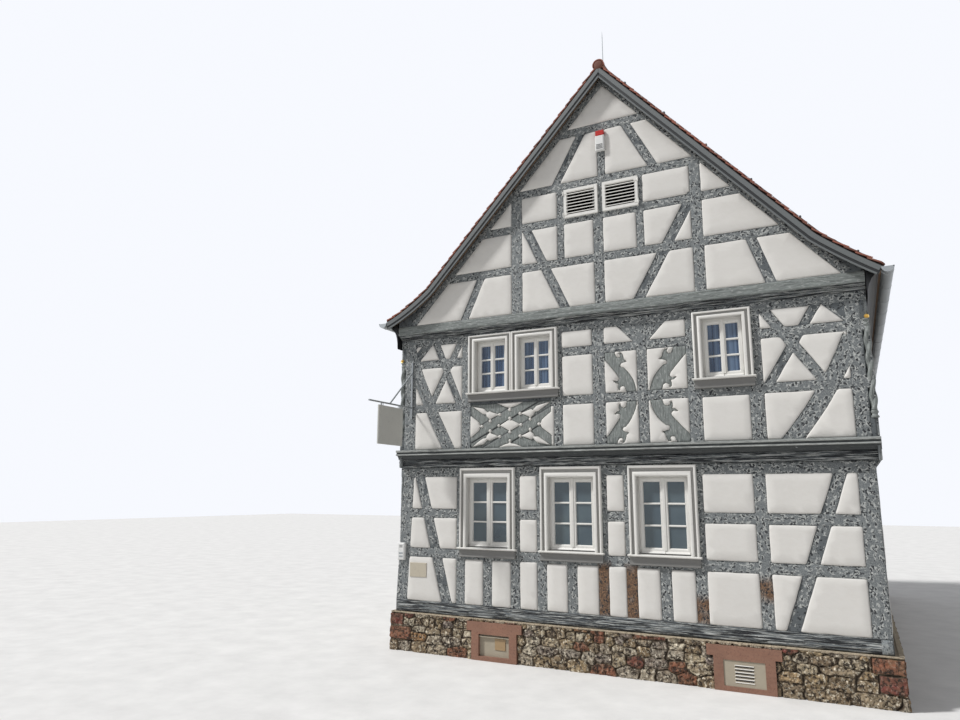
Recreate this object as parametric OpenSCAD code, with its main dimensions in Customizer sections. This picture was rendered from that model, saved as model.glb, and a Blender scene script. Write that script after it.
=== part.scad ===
// Half timbered house with its gable to the street: a rubble plinth, two storeys of
// timber frame with plastered panels, carved braces and moulded jetty beams, and a steep
// tiled roof that flares at the eaves.
// X runs along the street front, Y into the house and Z up. The origin is on the underside
// of the plinth, below the middle of the front timbers.

/* [House] */
// Width of the ground floor walls along the street front
house_w = 6910; // [5750:10:8300]
// Depth of the house, from the front timber face to the rear one
house_d = 10800; // [9000:100:13000]
// How far the upper storey stands out over the ground floor at the right side
side_jetty = 70; // [0:10:120]
// How far the upper storey stands in from the ground floor at the left side
left_set_in = 35; // [0:5:80]
// How far the upper storey stands out over the ground floor at the front
front_jetty = 120; // [60:10:200]
// How far the gable stands out over the upper storey
gable_jetty = 120; // [60:10:200]

/* [Levels] */
// Height of the rubble plinth
plinth_h = 580; // [480:10:800]
// Height of the sill beam on the plinth
sill_h = 180; // [140:10:220]
// Length of the ground floor posts
ground_post_h = 1930; // [1850:10:2600]
// Height of the plate over the ground floor posts
plate_h = 150; // [120:10:200]
// Height of the floor zone over the ground floor
upper_floor_h = 280; // [240:10:340]
// Length of the upper storey posts
upper_post_h = 1715; // [1640:10:2400]
// Height of the plate over the upper storey posts
upper_plate_h = 120; // [100:10:180]
// Height of the floor zone under the gable
attic_floor_h = 225; // [200:5:300]

/* [Timbers] */
// Depth of the timbers through the wall
timber_d = 180; // [140:10:240]
// Plaster coat on the inner side of the timbers
coat_t = 20; // [10:5:40]
// How far the plastered panels stand proud of the timbers
panel_proud = 20; // [0:1:30]
// Width of a post
post_w = 155; // [120:5:200]
// Width of a corner post
corner_w = 205; // [160:5:260]
// Width of a short stud
stud_w = 155; // [100:5:180]
// Height of a rail
rail_h = 145; // [110:5:180]
// Width of a straight brace
brace_w = 150; // [110:5:200]
// Width of a cross arm
cross_w = 115; // [90:5:150]
// How far the front left post of the ground floor leans in
corner_lean = 95; // [0:5:120]

/* [Plinth] */
// Thickness of the plinth walls
plinth_t = 480; // [400:10:600]
// How far the plinth stands out from the front and rear timbers
plinth_out = 90; // [40:5:150]
// How far the plinth stands out from the side timbers
plinth_side_out = 115; // [40:5:160]
// Height of a cellar light between its stones
cellar_light_h = 310; // [200:10:340]
// Width of a cellar light between its stones
cellar_light_w = 500; // [350:10:600]

/* [Windows] */
// Clear width of a ground floor window through the wall
ground_light_w = 780; // [600:10:900]
// Clear width of a leaf pair in the upper storey
upper_light_w = 605; // [500:5:760]
// Clear height of an upper storey window through the wall
upper_light_h = 850; // [700:10:1000]
// Width of the casing on the wall outside the clear opening
casing_lap = 80; // [50:5:120]
// How far the casing stands proud of the timbers
casing_out = 50; // [30:5:80]
// Width of a casement's frame timbers
leaf_frame_w = 70; // [40:1:80]
// Depth of the reveal in front of a casement
reveal_d = 60; // [30:5:90]

/* [Roof] */
// Pitch of the left roof slope
pitch_left = 46.4; // [40:0.1:55]
// Pitch of the right roof slope
pitch_right = 48.8; // [40:0.1:55]
// Thickness of the tiles
tile_t = 50; // [20:5:60]
// Thickness of tiles, battens and boards together
roof_t = 90; // [70:5:140]
// Height of the barge board
barge_h = 115; // [80:5:200]
// How far the tiles stand out over the gable timbers
verge_out = 180; // [100:10:400]
// How far the left eave stands out from the wall
eave_out_left = 175; // [100:5:400]
// How far the right eave stands out from the wall
eave_out_right = 240; // [100:10:400]
// Radius of the ridge tiles
ridge_r = 90; // [70:5:130]
// Radius of the gutters
gutter_r = 72; // [50:1:90]

/* [Door] */
// Clear width of the yard door
door_w = 950; // [800:10:1100]
// Clear height of the yard door above the floor
door_h = 1830; // [1700:10:1850]

/* [Hidden] */
$fn = 48;

// Colours
timber_grey = [0.44, 0.46, 0.48];
plaster_cream = [0.90, 0.89, 0.86];
rubble_tan = [0.60, 0.52, 0.42];
sandstone_red = [0.62, 0.42, 0.36];
paint_white = [0.93, 0.92, 0.89];
tile_red = [0.52, 0.22, 0.16];
zinc_grey = [0.62, 0.64, 0.66];
board_grey = [0.50, 0.52, 0.53];
floor_brown = [0.50, 0.38, 0.26];
cover_grey = [0.70, 0.68, 0.64];

// Levels above the ground
z_sill = plinth_h + sill_h;
z_ground_head = z_sill + ground_post_h;
z_ground_plate = z_ground_head + plate_h;
z_upper_floor = z_ground_plate + upper_floor_h;
z_upper_head = z_upper_floor + upper_post_h;
z_upper_plate = z_upper_head + upper_plate_h;
z_attic = z_upper_plate + attic_floor_h;

// Wall faces
wall_t = timber_d + coat_t;
x_left = -house_w / 2;
x_right = house_w / 2;
x_left_upper = x_left + left_set_in;
x_right_upper = x_right + side_jetty;
upper_w = x_right_upper - x_left_upper;
y_upper = -front_jetty;
y_gable = y_upper - gable_jetty;

// Rail heights, measured from the floor of each storey
ground_rails = [740, 1355];
upper_rails = [672, 1402];
gable_rails = [705, 1375, 1930, 2795];

// Sill heights of the windows above the floor of each storey
ground_window_z = 845;
upper_window_z = 870;
single_window_z = 852;
side_window_z = 750;
ground_light_h = ground_post_h - ground_window_z;

// Window middles along each wall, seen from outside and measured from its left end
front_ground_windows = [1600, 2965, 4302];
front_pair_window = 2055;
front_single_window = 5193;
pair_light_w = 1355;
left_window_step = house_d / 5;
left_ground_windows = [1, 3, 4];
left_upper_windows = [1, 2, 3, 4];
right_window_step = house_d / 3;
rear_window_step = house_w / 3;
door_u = 2 * left_window_step;

// Small clearances and fits
glass_t = 6;
leaf_t = 45;

// How far a casing laps over the timber above its window, and the covered joint in the
// middle of a leaf pair, on the ground floor and in the upper storey
ground_head_lap = 135;
upper_head_lap = 80;
ground_meet_w = 107;
upper_meet_w = 79;

// Widths of the posts left and right of the window pair and of the single window
pair_posts = [215, 145];
single_posts = [183, 185];

// One straight timber between two points of a wall's face
module timber(a, b, w) {
    d = b - a;
    translate(a) rotate(atan2(d[1], d[0]))
        translate([0, -w / 2]) square([norm(d), w]);
}

// A rail over the whole length of a wall, at its middle height
module rail(len, z, h = rail_h) {
    translate([0, z - h / 2]) square([len, h]);
}

// A post at its middle
module post(u, z0, z1, w = post_w) {
    translate([u - w / 2, z0]) square([w, z1 - z0]);
}

// The posts on both sides of a window opening, with their widths
module window_posts(u, light_w, z0, z1, widths = [post_w, post_w]) {
    for (s = [0, 1])
        post(u + (2 * s - 1) * (light_w + widths[s]) / 2, z0, z1, widths[s]);
}

// Stands a wall's face up on one side of the house: 0 front, 1 right, 2 rear, 3 left.
// The face is drawn with u to the right as seen from outside, and d goes into the wall.
module on_side(side, x0, x1, y0, y1, d0, d1) {
    at = [[x0, y0], [x1, y0], [x1, y1], [x0, y1]][side];
    translate([at[0], at[1], 0]) rotate(90 * side)
        translate([0, d1, 0]) rotate([90, 0, 0]) linear_extrude(d1 - d0) children();
}

module ground_side(side, d0, d1) {
    on_side(side, x_left, x_right, 0, house_d, d0, d1) children();
}

module upper_side(side, d0, d1) {
    on_side(side, x_left_upper, x_right_upper, y_upper, house_d, d0, d1) children();
}

module gable_side(side, d0, d1) {
    on_side(side, x_left_upper, x_right_upper, y_gable, house_d, d0, d1) children();
}

// Lengths of the walls: the side walls stand between the front and rear ones
function ground_len(side) = side % 2 == 0 ? house_w : house_d;
function upper_len(side) = side % 2 == 0 ? upper_w : house_d + front_jetty;

// Windows of each side as [middle, clear width, sill height, clear height, leaf pairs,
// covered joint, lap at the head]
function ground_windows(side) =
    side == 0 ? [for (u = front_ground_windows) ground_window(u)]
    : side == 1 ? [for (i = [1, 2]) ground_window(i * right_window_step)]
    : side == 2 ? [for (i = [1, 2]) ground_window(i * rear_window_step)]
    : [for (i = left_ground_windows) ground_window(i * left_window_step)];

function ground_window(u) =
    [u, ground_light_w, z_sill + ground_window_z, ground_light_h, 1, ground_meet_w,
     ground_head_lap];

function upper_windows(side) =
    side == 0 ? [upper_window(front_pair_window, upper_window_z, pair_light_w, 2),
                 upper_window(front_single_window, single_window_z)]
    : side == 1 ? [for (i = [1, 2]) upper_window(i * right_window_step, side_window_z)]
    : side == 2 ? [for (i = [1, 2]) upper_window(i * rear_window_step, upper_window_z)]
    : [for (i = left_upper_windows) upper_window(i * left_window_step, side_window_z)];

function upper_window(u, z, w = upper_light_w, pairs = 1) =
    [u, w, z_upper_floor + z, upper_light_h, pairs, upper_meet_w, upper_head_lap];

module window_openings(windows) {
    for (w = windows) translate([w[0] - w[1] / 2, w[2]]) square([w[1], w[3]]);
}

// The field of a wall: its whole face, with the side walls cut short at both ends
module field(side, len, z0, z1) {
    inset = side % 2 == 0 ? 0 : wall_t;
    translate([inset, z0]) square([len - 2 * inset, z1 - z0]);
}

// Front of the ground floor
module ground_field(side) {
    if (side == 0)
        polygon([[-corner_lean / 2, plinth_h], [house_w, plinth_h],
                 [house_w, z_ground_plate], [corner_lean / 2, z_ground_plate],
                 [corner_lean / 2, z_ground_head], [-corner_lean / 2, z_sill]]);
    else
        field(side, ground_len(side), plinth_h, z_ground_plate);
}

module ground_front_members() {
    lean = corner_lean / 2;
    polygon([[-lean, z_sill], [corner_w - lean, z_sill],
             [corner_w + lean, z_ground_head], [lean, z_ground_head]]);
    timber([905, z_sill - 60], [350, z_ground_head + 60], brace_w + 25);
    post(house_w - 1345, z_sill, z_ground_head);
    timber([house_w - 1085, z_sill - 60], [house_w - 375, z_ground_head + 60], brace_w);
    post(house_w - corner_w / 2, z_sill, z_ground_head, corner_w);
    for (u = front_ground_windows)
        post(u, z_sill, z_sill + ground_window_z, stud_w);
}

// Corner posts, corner braces and studs of a plainer wall
module plain_members(side, len, windows, z0, z1) {
    inset = side % 2 == 0 ? 0 : wall_t;
    w = side % 2 == 0 ? corner_w : post_w;
    for (end = [0, 1]) {
        u = end == 0 ? inset : len - inset;
        s = end == 0 ? 1 : -1;
        post(u + s * w / 2, z0, z1, w);
        timber([u + s * (w + 650), z0 - 60], [u + s * (w + 60), z1 + 60], brace_w);
    }
    for (win = windows) post(win[0], z0, win[2], stud_w);
}

module ground_frame_2d(side) {
    len = ground_len(side);
    windows = ground_windows(side);
    difference() {
        intersection() {
            union() {
                rail(len * 1.02, plinth_h + sill_h / 2, sill_h);
                rail(len, z_ground_head + plate_h / 2, plate_h);
                if (side == 0)
                    translate([-corner_lean / 2, plinth_h]) square([corner_w, sill_h]);
                for (z = ground_rails) rail(len, z_sill + z);
                for (w = windows) {
                    window_posts(w[0], w[1], z_sill, z_ground_head);
                    sill_rail(w, z_sill + ground_rails[0]);
                }
                if (side == 3) {
                    window_posts(door_u, door_w, z_sill, z_ground_head);
                    rail_piece(door_u, door_w, z_sill + door_h, z_ground_head);
                }
                if (side == 0)
                    ground_front_members();
                else
                    plain_members(side, len, windows, z_sill, z_ground_head);
            }
            ground_field(side);
        }
        window_openings(windows);
        if (side == 3) door_opening();
    }
}

// The short rail that carries a window, from the storey's rail up to the opening
module sill_rail(w, z_rail) {
    rail_piece(w[0], w[1], z_rail - rail_h / 2, w[2]);
}

module rail_piece(u, w, z0, z1) {
    translate([u - w / 2, z0]) square([w, z1 - z0]);
}

module door_opening() {
    translate([door_u - door_w / 2, z_sill]) square([door_w, door_h]);
}

module ground_infill_2d(side) {
    difference() {
        ground_field(side);
        ground_frame_2d(side);
        window_openings(ground_windows(side));
        if (side == 3) door_opening();
    }
}

// The inner coat runs behind all timbers between the floors
module ground_coat_2d(side) {
    len = ground_len(side);
    difference() {
        translate([wall_t, z_sill])
            square([len - 2 * wall_t, z_ground_plate - z_sill]);
        window_openings(ground_windows(side));
        if (side == 3) door_opening();
    }
}

module ground_frame(sides) {
    color(timber_grey)
        for (side = sides) ground_side(side, 0, timber_d) ground_frame_2d(side);
}

module ground_infill(sides) {
    color(plaster_cream) for (side = sides) {
        ground_side(side, -panel_proud, timber_d) ground_infill_2d(side);
        ground_side(side, timber_d, wall_t) ground_coat_2d(side);
    }
}

// Upper storey
module upper_field(side) {
    field(side, upper_len(side), side == 0 ? z_upper_floor : z_ground_plate,
          z_upper_plate);
}

// The bay with the carved braces lies between two posts, round a middle post
bay_left = 3444;
bay_mid = 4085;
bay_mid_w = 150;
bay_post_w = 188;
bay_start = bay_left + bay_post_w / 2;
bay_end = front_single_window - upper_light_w / 2 - single_posts[0];

// A timber that bows sideways by a sag at the middle of its length
module bowed_timber(a, b, w, sag) {
    d = b - a;
    len = norm(d);
    n = 8;
    line = [for (i = [0:n]) [len * i / n, sag * 4 * (i / n) * (1 - i / n)]];
    translate(a) rotate(atan2(d[1], d[0]))
        polygon(concat([for (p = line) p - [0, w / 2]],
                       reversed([for (p = line) p + [0, w / 2]])));
}

module upper_front_members() {
    z0 = z_upper_floor;
    z1 = z_upper_head;
    post(corner_zone_l / 2, z0, z1, corner_zone_l);
    bowed_timber([950, z0 - 30], [260, z0 + 1390], brace_w + 50, 25);
    timber([170, z1 - 337], [547, z1 + 59], brace_w);
    timber([670, z1 + 35], [1115, z0 + 725], cross_w);
    timber([592, z0 + 725], [1147, z1 + 40], cross_w);
    post(bay_left, z0, z1, bay_post_w);
    post(bay_mid, z0, z1, bay_mid_w);
    for (s = [-1, 1]) head_bracket(bay_mid, s, 50, 350, z0 + upper_rails[1], z1);
    cross_left = front_single_window + (upper_light_w + post_w) / 2;
    timber([cross_left + 155, z1 + 20], [cross_left + 820, z0 + 740], cross_w + 15);
    timber([cross_left + 133, z0 + 655], [cross_left + 805, z1 + 20], cross_w);
    bowed_timber([upper_w - 1015, z0 - 60], [upper_w - 200, z0 + 1250], brace_w + 65, -60);
    head_bracket(upper_w - corner_zone_r + 10, -1, 0, 270, z1 - 270, z1);
    post(upper_w - corner_zone_r / 2, z0, z1, corner_zone_r);
}

// A bracket that widens the head of a post up to the plate, from foot to head outwards
module head_bracket(u, s, foot, head, z0, z1) {
    polygon([[u, z0], [u + s * foot, z0], [u + s * head, z1], [u, z1]]);
}

module upper_frame_2d(side) {
    len = upper_len(side);
    windows = upper_windows(side);
    difference() {
        intersection() {
            union() {
                rail(len, z_upper_head + upper_plate_h / 2, upper_plate_h);
                if (side != 0)
                    rail(len, z_ground_plate + upper_floor_h / 2, upper_floor_h);
                for (z = upper_rails) rail(len, z_upper_floor + z, rail_h - 10);
                for (w = windows) {
                    window_posts(w[0], w[1], z_upper_floor, z_upper_head,
                                 side != 0 ? [post_w, post_w]
                                 : w[4] == 2 ? pair_posts : single_posts);
                    sill_rail(w, z_upper_floor + upper_rails[0]);
                    rail_piece(w[0], w[1], w[2] + w[3], z_upper_head);
                }
                if (side == 0)
                    upper_front_members();
                else
                    plain_members(side, len, windows, z_upper_floor, z_upper_head);
            }
            upper_field(side);
        }
        window_openings(windows);
        if (side == 0) lattice_field();
    }
}

module upper_infill_2d(side) {
    difference() {
        upper_field(side);
        upper_frame_2d(side);
        window_openings(upper_windows(side));
        if (side == 0) carved_2d();
    }
}

module upper_coat_2d(side) {
    len = upper_len(side);
    difference() {
        translate([wall_t, z_upper_floor])
            square([len - 2 * wall_t, z_upper_plate - z_upper_floor]);
        window_openings(upper_windows(side));
    }
}

module upper_frame(sides) {
    color(timber_grey) difference() {
        for (side = sides) upper_side(side, 0, timber_d) upper_frame_2d(side);
        if (sides[0] == 0) column_places() cylinder(r = hollow_r, h = column_h);
    }
}

module upper_infill(sides) {
    color(plaster_cream) for (side = sides) {
        upper_side(side, -panel_proud, timber_d) upper_infill_2d(side);
        upper_side(side, timber_d, wall_t) upper_coat_2d(side);
    }
}

// Carved work of the upper front: the lattice under the window pair and the leaf braces
lattice_mid = front_pair_window - 50;
lattice_half = 685;
lattice_h = 690;

module lattice_field() {
    translate([lattice_mid - lattice_half, z_upper_floor])
        square([2 * lattice_half, lattice_h]);
}

// The lattice is one board of crossing bars. Its openings are a diamond in the middle, a
// pointed field on each side of it and four darts, with small lobes where bars cross
side_opening = [[720, 203], [535, 62], [520, 30], [500, 0], [520, -30], [535, -62], [720, -203]];
end_opening = [[-250, 360], [250, 360], [90, 292], [22, 276], [0, 250], [-22, 276], [-90, 292]];
dart_opening = [[668, 326], [450, 278], [385, 214], [352, 232], [232, 187], [172, 171], [232, 154],
                [322, 115], [338, 88], [360, 118], [400, 152], [410, 186], [468, 192]];

module lattice_openings() {
    polygon([[175, 0], [0, 90], [-175, 0], [0, -90]]);
    for (s = [-1, 1]) {
        polygon([for (p = side_opening) [s * p[0], p[1]]]);
        polygon([for (p = end_opening) [p[0], s * p[1]]]);
        for (t = [-1, 1]) {
            polygon([for (p = dart_opening) [s * p[0], t * p[1]]]);
            lobes([[172, 171], [339, 76]], s, t);
        }
        lobes([[188, 0], [482, 0]], s, 1);
        lobes([[0, 106], [0, 238]], 1, s);
    }
}

lobe_r = 24;

module lobes(places, s, t) {
    for (p = places) translate([s * p[0], t * p[1]]) circle(r = lobe_r);
}

module lattice_2d() {
    difference() {
        lattice_field();
        translate([lattice_mid, z_upper_floor + lattice_h / 2 - 4]) lattice_openings();
    }
}

// Points of a curve from a to c that leans towards b
function bow(a, b, c, n = 6) =
    [for (i = [0:n]) let (t = i / n) (1 - t) * (1 - t) * a + 2 * t * (1 - t) * b + t * t * c];

// Outline of a leaf brace in shares of its field: 0,0 where it leaves the middle post and
// the rail, and 1,1 in the far corner. A pointed leaf stands out on each of its edges
leaf_brace = concat(
    bow([0.035, -0.05], [0.06, 0.34], [0.41, 0.60]),
    [[0.49, 0.61], [0.52, 0.66], [0.47, 0.70], [0.31, 0.74], [0.385, 0.80], [0.41, 0.89],
     [0.45, 0.955], [0.53, 0.97], [0.505, 0.90], [0.54, 0.85], [0.61, 0.855], [0.65, 0.92],
     [0.70, 1.05], [1.05, 1.05], [1.05, 0.90]],
    bow([0.97, 0.79], [0.74, 0.57], [0.585, 0.39]),
    [[0.555, 0.32], [0.60, 0.275], [0.73, 0.29], [0.665, 0.23], [0.575, 0.215],
     [0.605, 0.15], [0.60, 0.08], [0.55, 0.05], [0.53, 0.125], [0.455, 0.155],
     [0.385, 0.12], [0.36, 0.03], [0.27, -0.05]]);

module leaf_brace_2d(left, up) {
    mid_half = bay_mid_w / 2;
    reach = left ? bay_mid - mid_half - bay_start : bay_end - bay_mid - mid_half;
    rail_half = (rail_h - 10) / 2;
    h = up ? upper_rails[1] - upper_rails[0] - 2 * rail_half : upper_rails[0] - rail_half;
    s = left ? -1 : 1;
    t = up ? 1 : -1;
    translate([bay_mid + s * mid_half, z_upper_floor + upper_rails[0] + t * rail_half])
        intersection() {
            polygon([for (p = leaf_brace) [s * p[0] * reach, t * p[1] * h]]);
            polygon([for (p = [[0, 0], [1, 0], [1, 1], [0, 1]])
                [s * p[0] * reach, t * p[1] * h]]);
        }
}

module carved_2d() {
    lattice_2d();
    for (left = [true, false], up = [true, false]) leaf_brace_2d(left, up);
}

module carved_braces() {
    color(timber_grey) upper_side(0, 0, timber_d) carved_2d();
}

// Columns in the hollowed arrises of the upper corner posts
corner_zone_l = 295;
corner_zone_r = 245;
column_r = 50;
column_h = 1250;
column_z = 230;
column_in = 25;
hollow_r = column_r + 4;

module column_places() {
    for (x = [x_left_upper + column_in, x_right_upper - column_in])
        translate([x, y_upper + column_in, z_upper_floor + column_z]) children();
}

module corner_columns() {
    color(timber_grey) column_places() cylinder(r = column_r, h = column_h);
}

// Moulded beams under the upper storey and under the gable, as profiles of [y, z]
module jetty_beam() {
    z0 = z_ground_plate;
    z1 = z_upper_floor;
    color(timber_grey) along_x(x_left_upper - 40, x_right_upper + 15) {
        polygon([[-55, z0], [-70, z0 + 20], [-70, z1 - 165], [-60, z1 - 150],
                 [y_upper + wall_t, z1 - 150], [y_upper + wall_t, z0]]);
        polygon(concat(
            [[y_upper + wall_t, z1 - 150], [y_upper + 20, z1 - 150]],
            [for (a = [0:15:90])
                [y_upper + 20 - 70 * (1 - cos(a)), z1 - 150 + 65 * sin(a)]],
            [[y_upper - 62, z1 - 85], [y_upper - 62, z1 - 60], [y_upper - 48, z1 - 55],
             [y_upper - 48, z1 - 32], [y_upper - 68, z1 - 27], [y_upper - 68, z1],
             [y_upper + wall_t, z1]]));
    }
}

module along_x(x0, x1) {
    translate([x0, 0, 0]) rotate([90, 0, 90]) linear_extrude(x1 - x0) children();
}

module gable_beam() {
    z0 = z_upper_plate;
    z1 = z_attic;
    color(timber_grey) along_x(x_left_upper, x_right_upper + 10)
        polygon([[y_gable + wall_t, z0], [y_upper - 20, z0], [y_upper - 20, z0 + 22],
                 [y_upper - 48, z0 + 28], [y_upper - 48, z0 + 50], [y_gable + 25, z0 + 62],
                 [y_gable + 25, z0 + 78], [y_gable - 12, z0 + 84], [y_gable - 12, z1 - 8],
                 [y_gable - 4, z1], [y_gable + wall_t, z1]]);
}

// Floors
module ground_floor() {
    color(floor_brown) translate([x_left + wall_t, wall_t, plinth_h])
        cube([house_w - 2 * wall_t, house_d - 2 * wall_t, sill_h]);
}

module upper_floor() {
    color(floor_brown)
        translate([x_left_upper + timber_d, y_upper + wall_t, z_ground_plate])
            cube([upper_w - 2 * timber_d, house_d - timber_d - y_upper - wall_t,
                  upper_floor_h]);
}

module attic_floor() {
    color(floor_brown) translate([x_left_upper, y_gable + wall_t, z_upper_plate])
        cube([upper_w, house_d - wall_t - y_gable - wall_t, attic_floor_h]);
}

// Plinth
module plinth_front() {
    color(rubble_tan) difference() {
        plinth_wall(-plinth_out);
        for (u = cellar_lights) cellar_hole(u);
    }
}

module plinth_wall(y) {
    translate([x_left - plinth_side_out, y, 0])
        cube([house_w + 2 * plinth_side_out, plinth_t, plinth_h]);
}

module plinth_rear() {
    color(rubble_tan) plinth_wall(house_d + plinth_out - plinth_t);
}

module plinth_sides() {
    color(rubble_tan)
        for (x = [x_left - plinth_side_out, x_right + plinth_side_out - plinth_t])
            translate([x, plinth_t - plinth_out, 0])
                cube([plinth_t, house_d + 2 * plinth_out - 2 * plinth_t, plinth_h]);
}

// Cellar lights: middle from the left wall face, inside dressed sandstone
cellar_lights = [1750, 5250];
cellar_sill_z = 60;
jamb_w = 120;
lintel_h = 130;
lintel_w = 900;
surround_out = 15;
surround_t = 200;

module cellar_hole(u) {
    translate([x_left + u - cellar_light_w / 2 - jamb_w, -plinth_out - 1, -1])
        cube([cellar_light_w + 2 * jamb_w, surround_t + 1, cellar_lintel_z + 1]);
    translate([x_left + u - lintel_w / 2, -plinth_out - 1, cellar_lintel_z])
        cube([lintel_w, surround_t + 1, lintel_h]);
    translate([x_left + u - cellar_light_w / 2, -plinth_out, cellar_sill_z])
        cube([cellar_light_w, plinth_t + 1, cellar_light_h]);
}

cellar_lintel_z = cellar_sill_z + cellar_light_h + 40;

module cellar_surrounds() {
    color(sandstone_red)
        for (u = cellar_lights)
            translate([x_left + u, -plinth_out - surround_out, 0]) difference() {
                union() {
                    translate([-cellar_light_w / 2 - jamb_w, 0, 0])
                        cube([cellar_light_w + 2 * jamb_w, surround_t + surround_out,
                              cellar_lintel_z]);
                    translate([-lintel_w / 2, 0, cellar_lintel_z])
                        cube([lintel_w, surround_t + surround_out, lintel_h]);
                }
                translate([-cellar_light_w / 2, -1, cellar_sill_z])
                    cube([cellar_light_w, surround_t + surround_out + 2, cellar_light_h]);
            }
}

// How far the cover and the vent lie behind the face of the plinth
cover_back = 35;
vent_back = -5;
panel_t = 30;

module cellar_panel(u, back) {
    translate([x_left + u - cellar_light_w / 2, -plinth_out + back, cellar_sill_z])
        cube([cellar_light_w, panel_t, cellar_light_h]);
}

// The left light is closed by a cover with a small ledge, the right one by a vent
module cellar_panels() {
    color(cover_grey) {
        cellar_cover();
        cellar_vent();
    }
}

module cellar_cover() {
    ledge_h = 15;
    cellar_panel(cellar_lights[0], cover_back);
    translate([x_left + cellar_lights[0] - cellar_light_w / 2, -plinth_out,
               cellar_sill_z + cellar_light_h - 40])
        cube([cellar_light_w, cover_back, ledge_h]);
}

// The vent has five slots under sloping blades
vent_w = 220;
vent_h = 200;
vent_slots = 5;

module cellar_vent() {
    step = vent_h / vent_slots;
    difference() {
        cellar_panel(cellar_lights[1], vent_back);
        for (i = [0:vent_slots - 1])
            translate([x_left + cellar_lights[1] - vent_w / 2, -plinth_out + vent_back - 1,
                       cellar_sill_z + (cellar_light_h - vent_h) / 2 + (i + 0.25) * step])
                cube([vent_w, panel_t + 2, step / 2]);
    }
}

// Roof lines. The straight part of each slope starts from the attic floor level
tan_l = tan(pitch_left);
tan_r = tan(pitch_right);
foot_l = x_left_upper + 75;
foot_r = x_right_upper + 25;
eave_l = x_left_upper - eave_out_left;
eave_r = x_right_upper + eave_out_right;
kick_run_l = 805;
kick_run_r = 695;
knee_slope_l = 0.78;
knee_slope_r = 0.86;
eave_slope_l = 0.40;
eave_slope_r = 0.66;
kick_steps = 6;

// Slope and height of a roof side at a distance s outwards from its knee
function kick_slope(s, run, m0, m1) = m0 - (m0 - m1) * s / run;
function kick_drop(s, run, m0, m1) = m0 * s - (m0 - m1) * s * s / (2 * run);
// A point at depth d under the roof surface, where the surface rises by m towards the ridge
function under(x, z, m, dir, d) =
    [x + dir * m * d / sqrt(1 + m * m), z - d / sqrt(1 + m * m)];
function ridge_point(d) =
    let (cl = d * sqrt(1 + tan_l * tan_l), cr = d * sqrt(1 + tan_r * tan_r),
         x = (tan_r * foot_r + tan_l * foot_l - cr + cl) / (tan_l + tan_r))
    [x, z_attic + tan_l * (x - foot_l) - cl];

// Points of one slope at depth d, from the eave to the ridge
function slope_line(right, d) =
    let (dir = right ? -1 : 1, m = right ? tan_r : tan_l,
         m0 = right ? knee_slope_r : knee_slope_l,
         m1 = right ? eave_slope_r : eave_slope_l,
         run = right ? kick_run_r : kick_run_l, eave = right ? eave_r : eave_l,
         knee = eave + dir * run, foot = right ? foot_r : foot_l,
         z_knee = z_attic + m * abs(knee - foot))
    concat([for (i = [kick_steps:-1:0])
                let (s = run * i / kick_steps, z = z_knee - kick_drop(s, run, m0, m1),
                     local = i == 0 ? (m + m0) / 2 : kick_slope(s, run, m0, m1))
                under(knee - dir * s, z, local, dir, d)],
           [ridge_point(d)]);

function reversed(v) = [for (i = [len(v) - 1:-1:0]) v[i]];

module slope_band(right, d0, d1) {
    polygon(concat(slope_line(right, d0), reversed(slope_line(right, d1))));
}

module along_y(y0, y1) {
    translate([0, y1, 0]) rotate([90, 0, 0]) linear_extrude(y1 - y0) children();
}

barge_t = 30;
barge_gap = 6;
verge_y0 = y_gable - verge_out;
verge_y1 = house_d + verge_out;

module roof_slope(right) {
    color(tile_red) {
        along_y(verge_y0, verge_y1) slope_band(right, 0, tile_t);
        along_y(verge_y0 + barge_t + 5, verge_y1 - barge_t - 5)
            slope_band(right, tile_t, roof_t);
    }
}

// Share of the ridge tiles' radius that stands over the meeting line of the slopes
ridge_rise = 0.45;

module ridge_tiles() {
    top = ridge_point(0);
    z = top[1] - ridge_r * (1 - ridge_rise);
    color(tile_red) {
        along_y(verge_y0, verge_y1) difference() {
            translate([top[0], z]) circle(r = ridge_r);
            for (right = [false, true])
                polygon(concat([slope_line(right, 0)[kick_steps], top],
                               [[top[0], z_attic]]));
        }
        for (y = [verge_y0 - 20, verge_y1])
            along_y(y, y + 20) translate([top[0], z]) circle(r = ridge_r);
    }
}

module barge_boards() {
    color(board_grey)
        for (y = [verge_y0 + 5, verge_y1 - 5 - barge_t], right = [false, true])
            along_y(y, y + barge_t) intersection() {
                slope_band(right, tile_t, tile_t + barge_h);
                translate([ridge_point(0)[0] + (right ? barge_gap / 2 : -house_w), z_attic - 900])
                    square([house_w - (right ? 0 : barge_gap / 2), house_w]);
            }
}

// Boxed cornices close the gap between the side walls and the eaves
module eaves_cornices() {
    color(board_grey)
        for (right = [false, true]) {
            s = right ? 1 : -1;
            wall = right ? x_right_upper : x_left_upper;
            out = right ? eave_out_right : eave_out_left;
            low = z_upper_head - 20;
            edge = slope_line(right, roof_t);
            along_y(y_gable, house_d) intersection() {
                polygon(concat([[wall + s * panel_proud, z_attic + 400],
                                [wall + s * panel_proud, low]],
                    [for (a = [0:15:90])
                        [wall + s * (panel_proud + 5 + (out - 60) * (1 - cos(a))),
                         low + 30 + (z_attic - low - 60) * sin(a)]],
                    [[wall + s * (out - 35), z_attic + 400]]));
                polygon(concat([for (i = [0:kick_steps]) edge[i]],
                               [[edge[kick_steps][0], low - 50],
                                [edge[0][0] + s * 50, low - 50],
                                [edge[0][0] + s * 50, edge[0][1]]]));
            }
        }
}

// Half round gutters under the eaves
gutter_t = 4;

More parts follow.
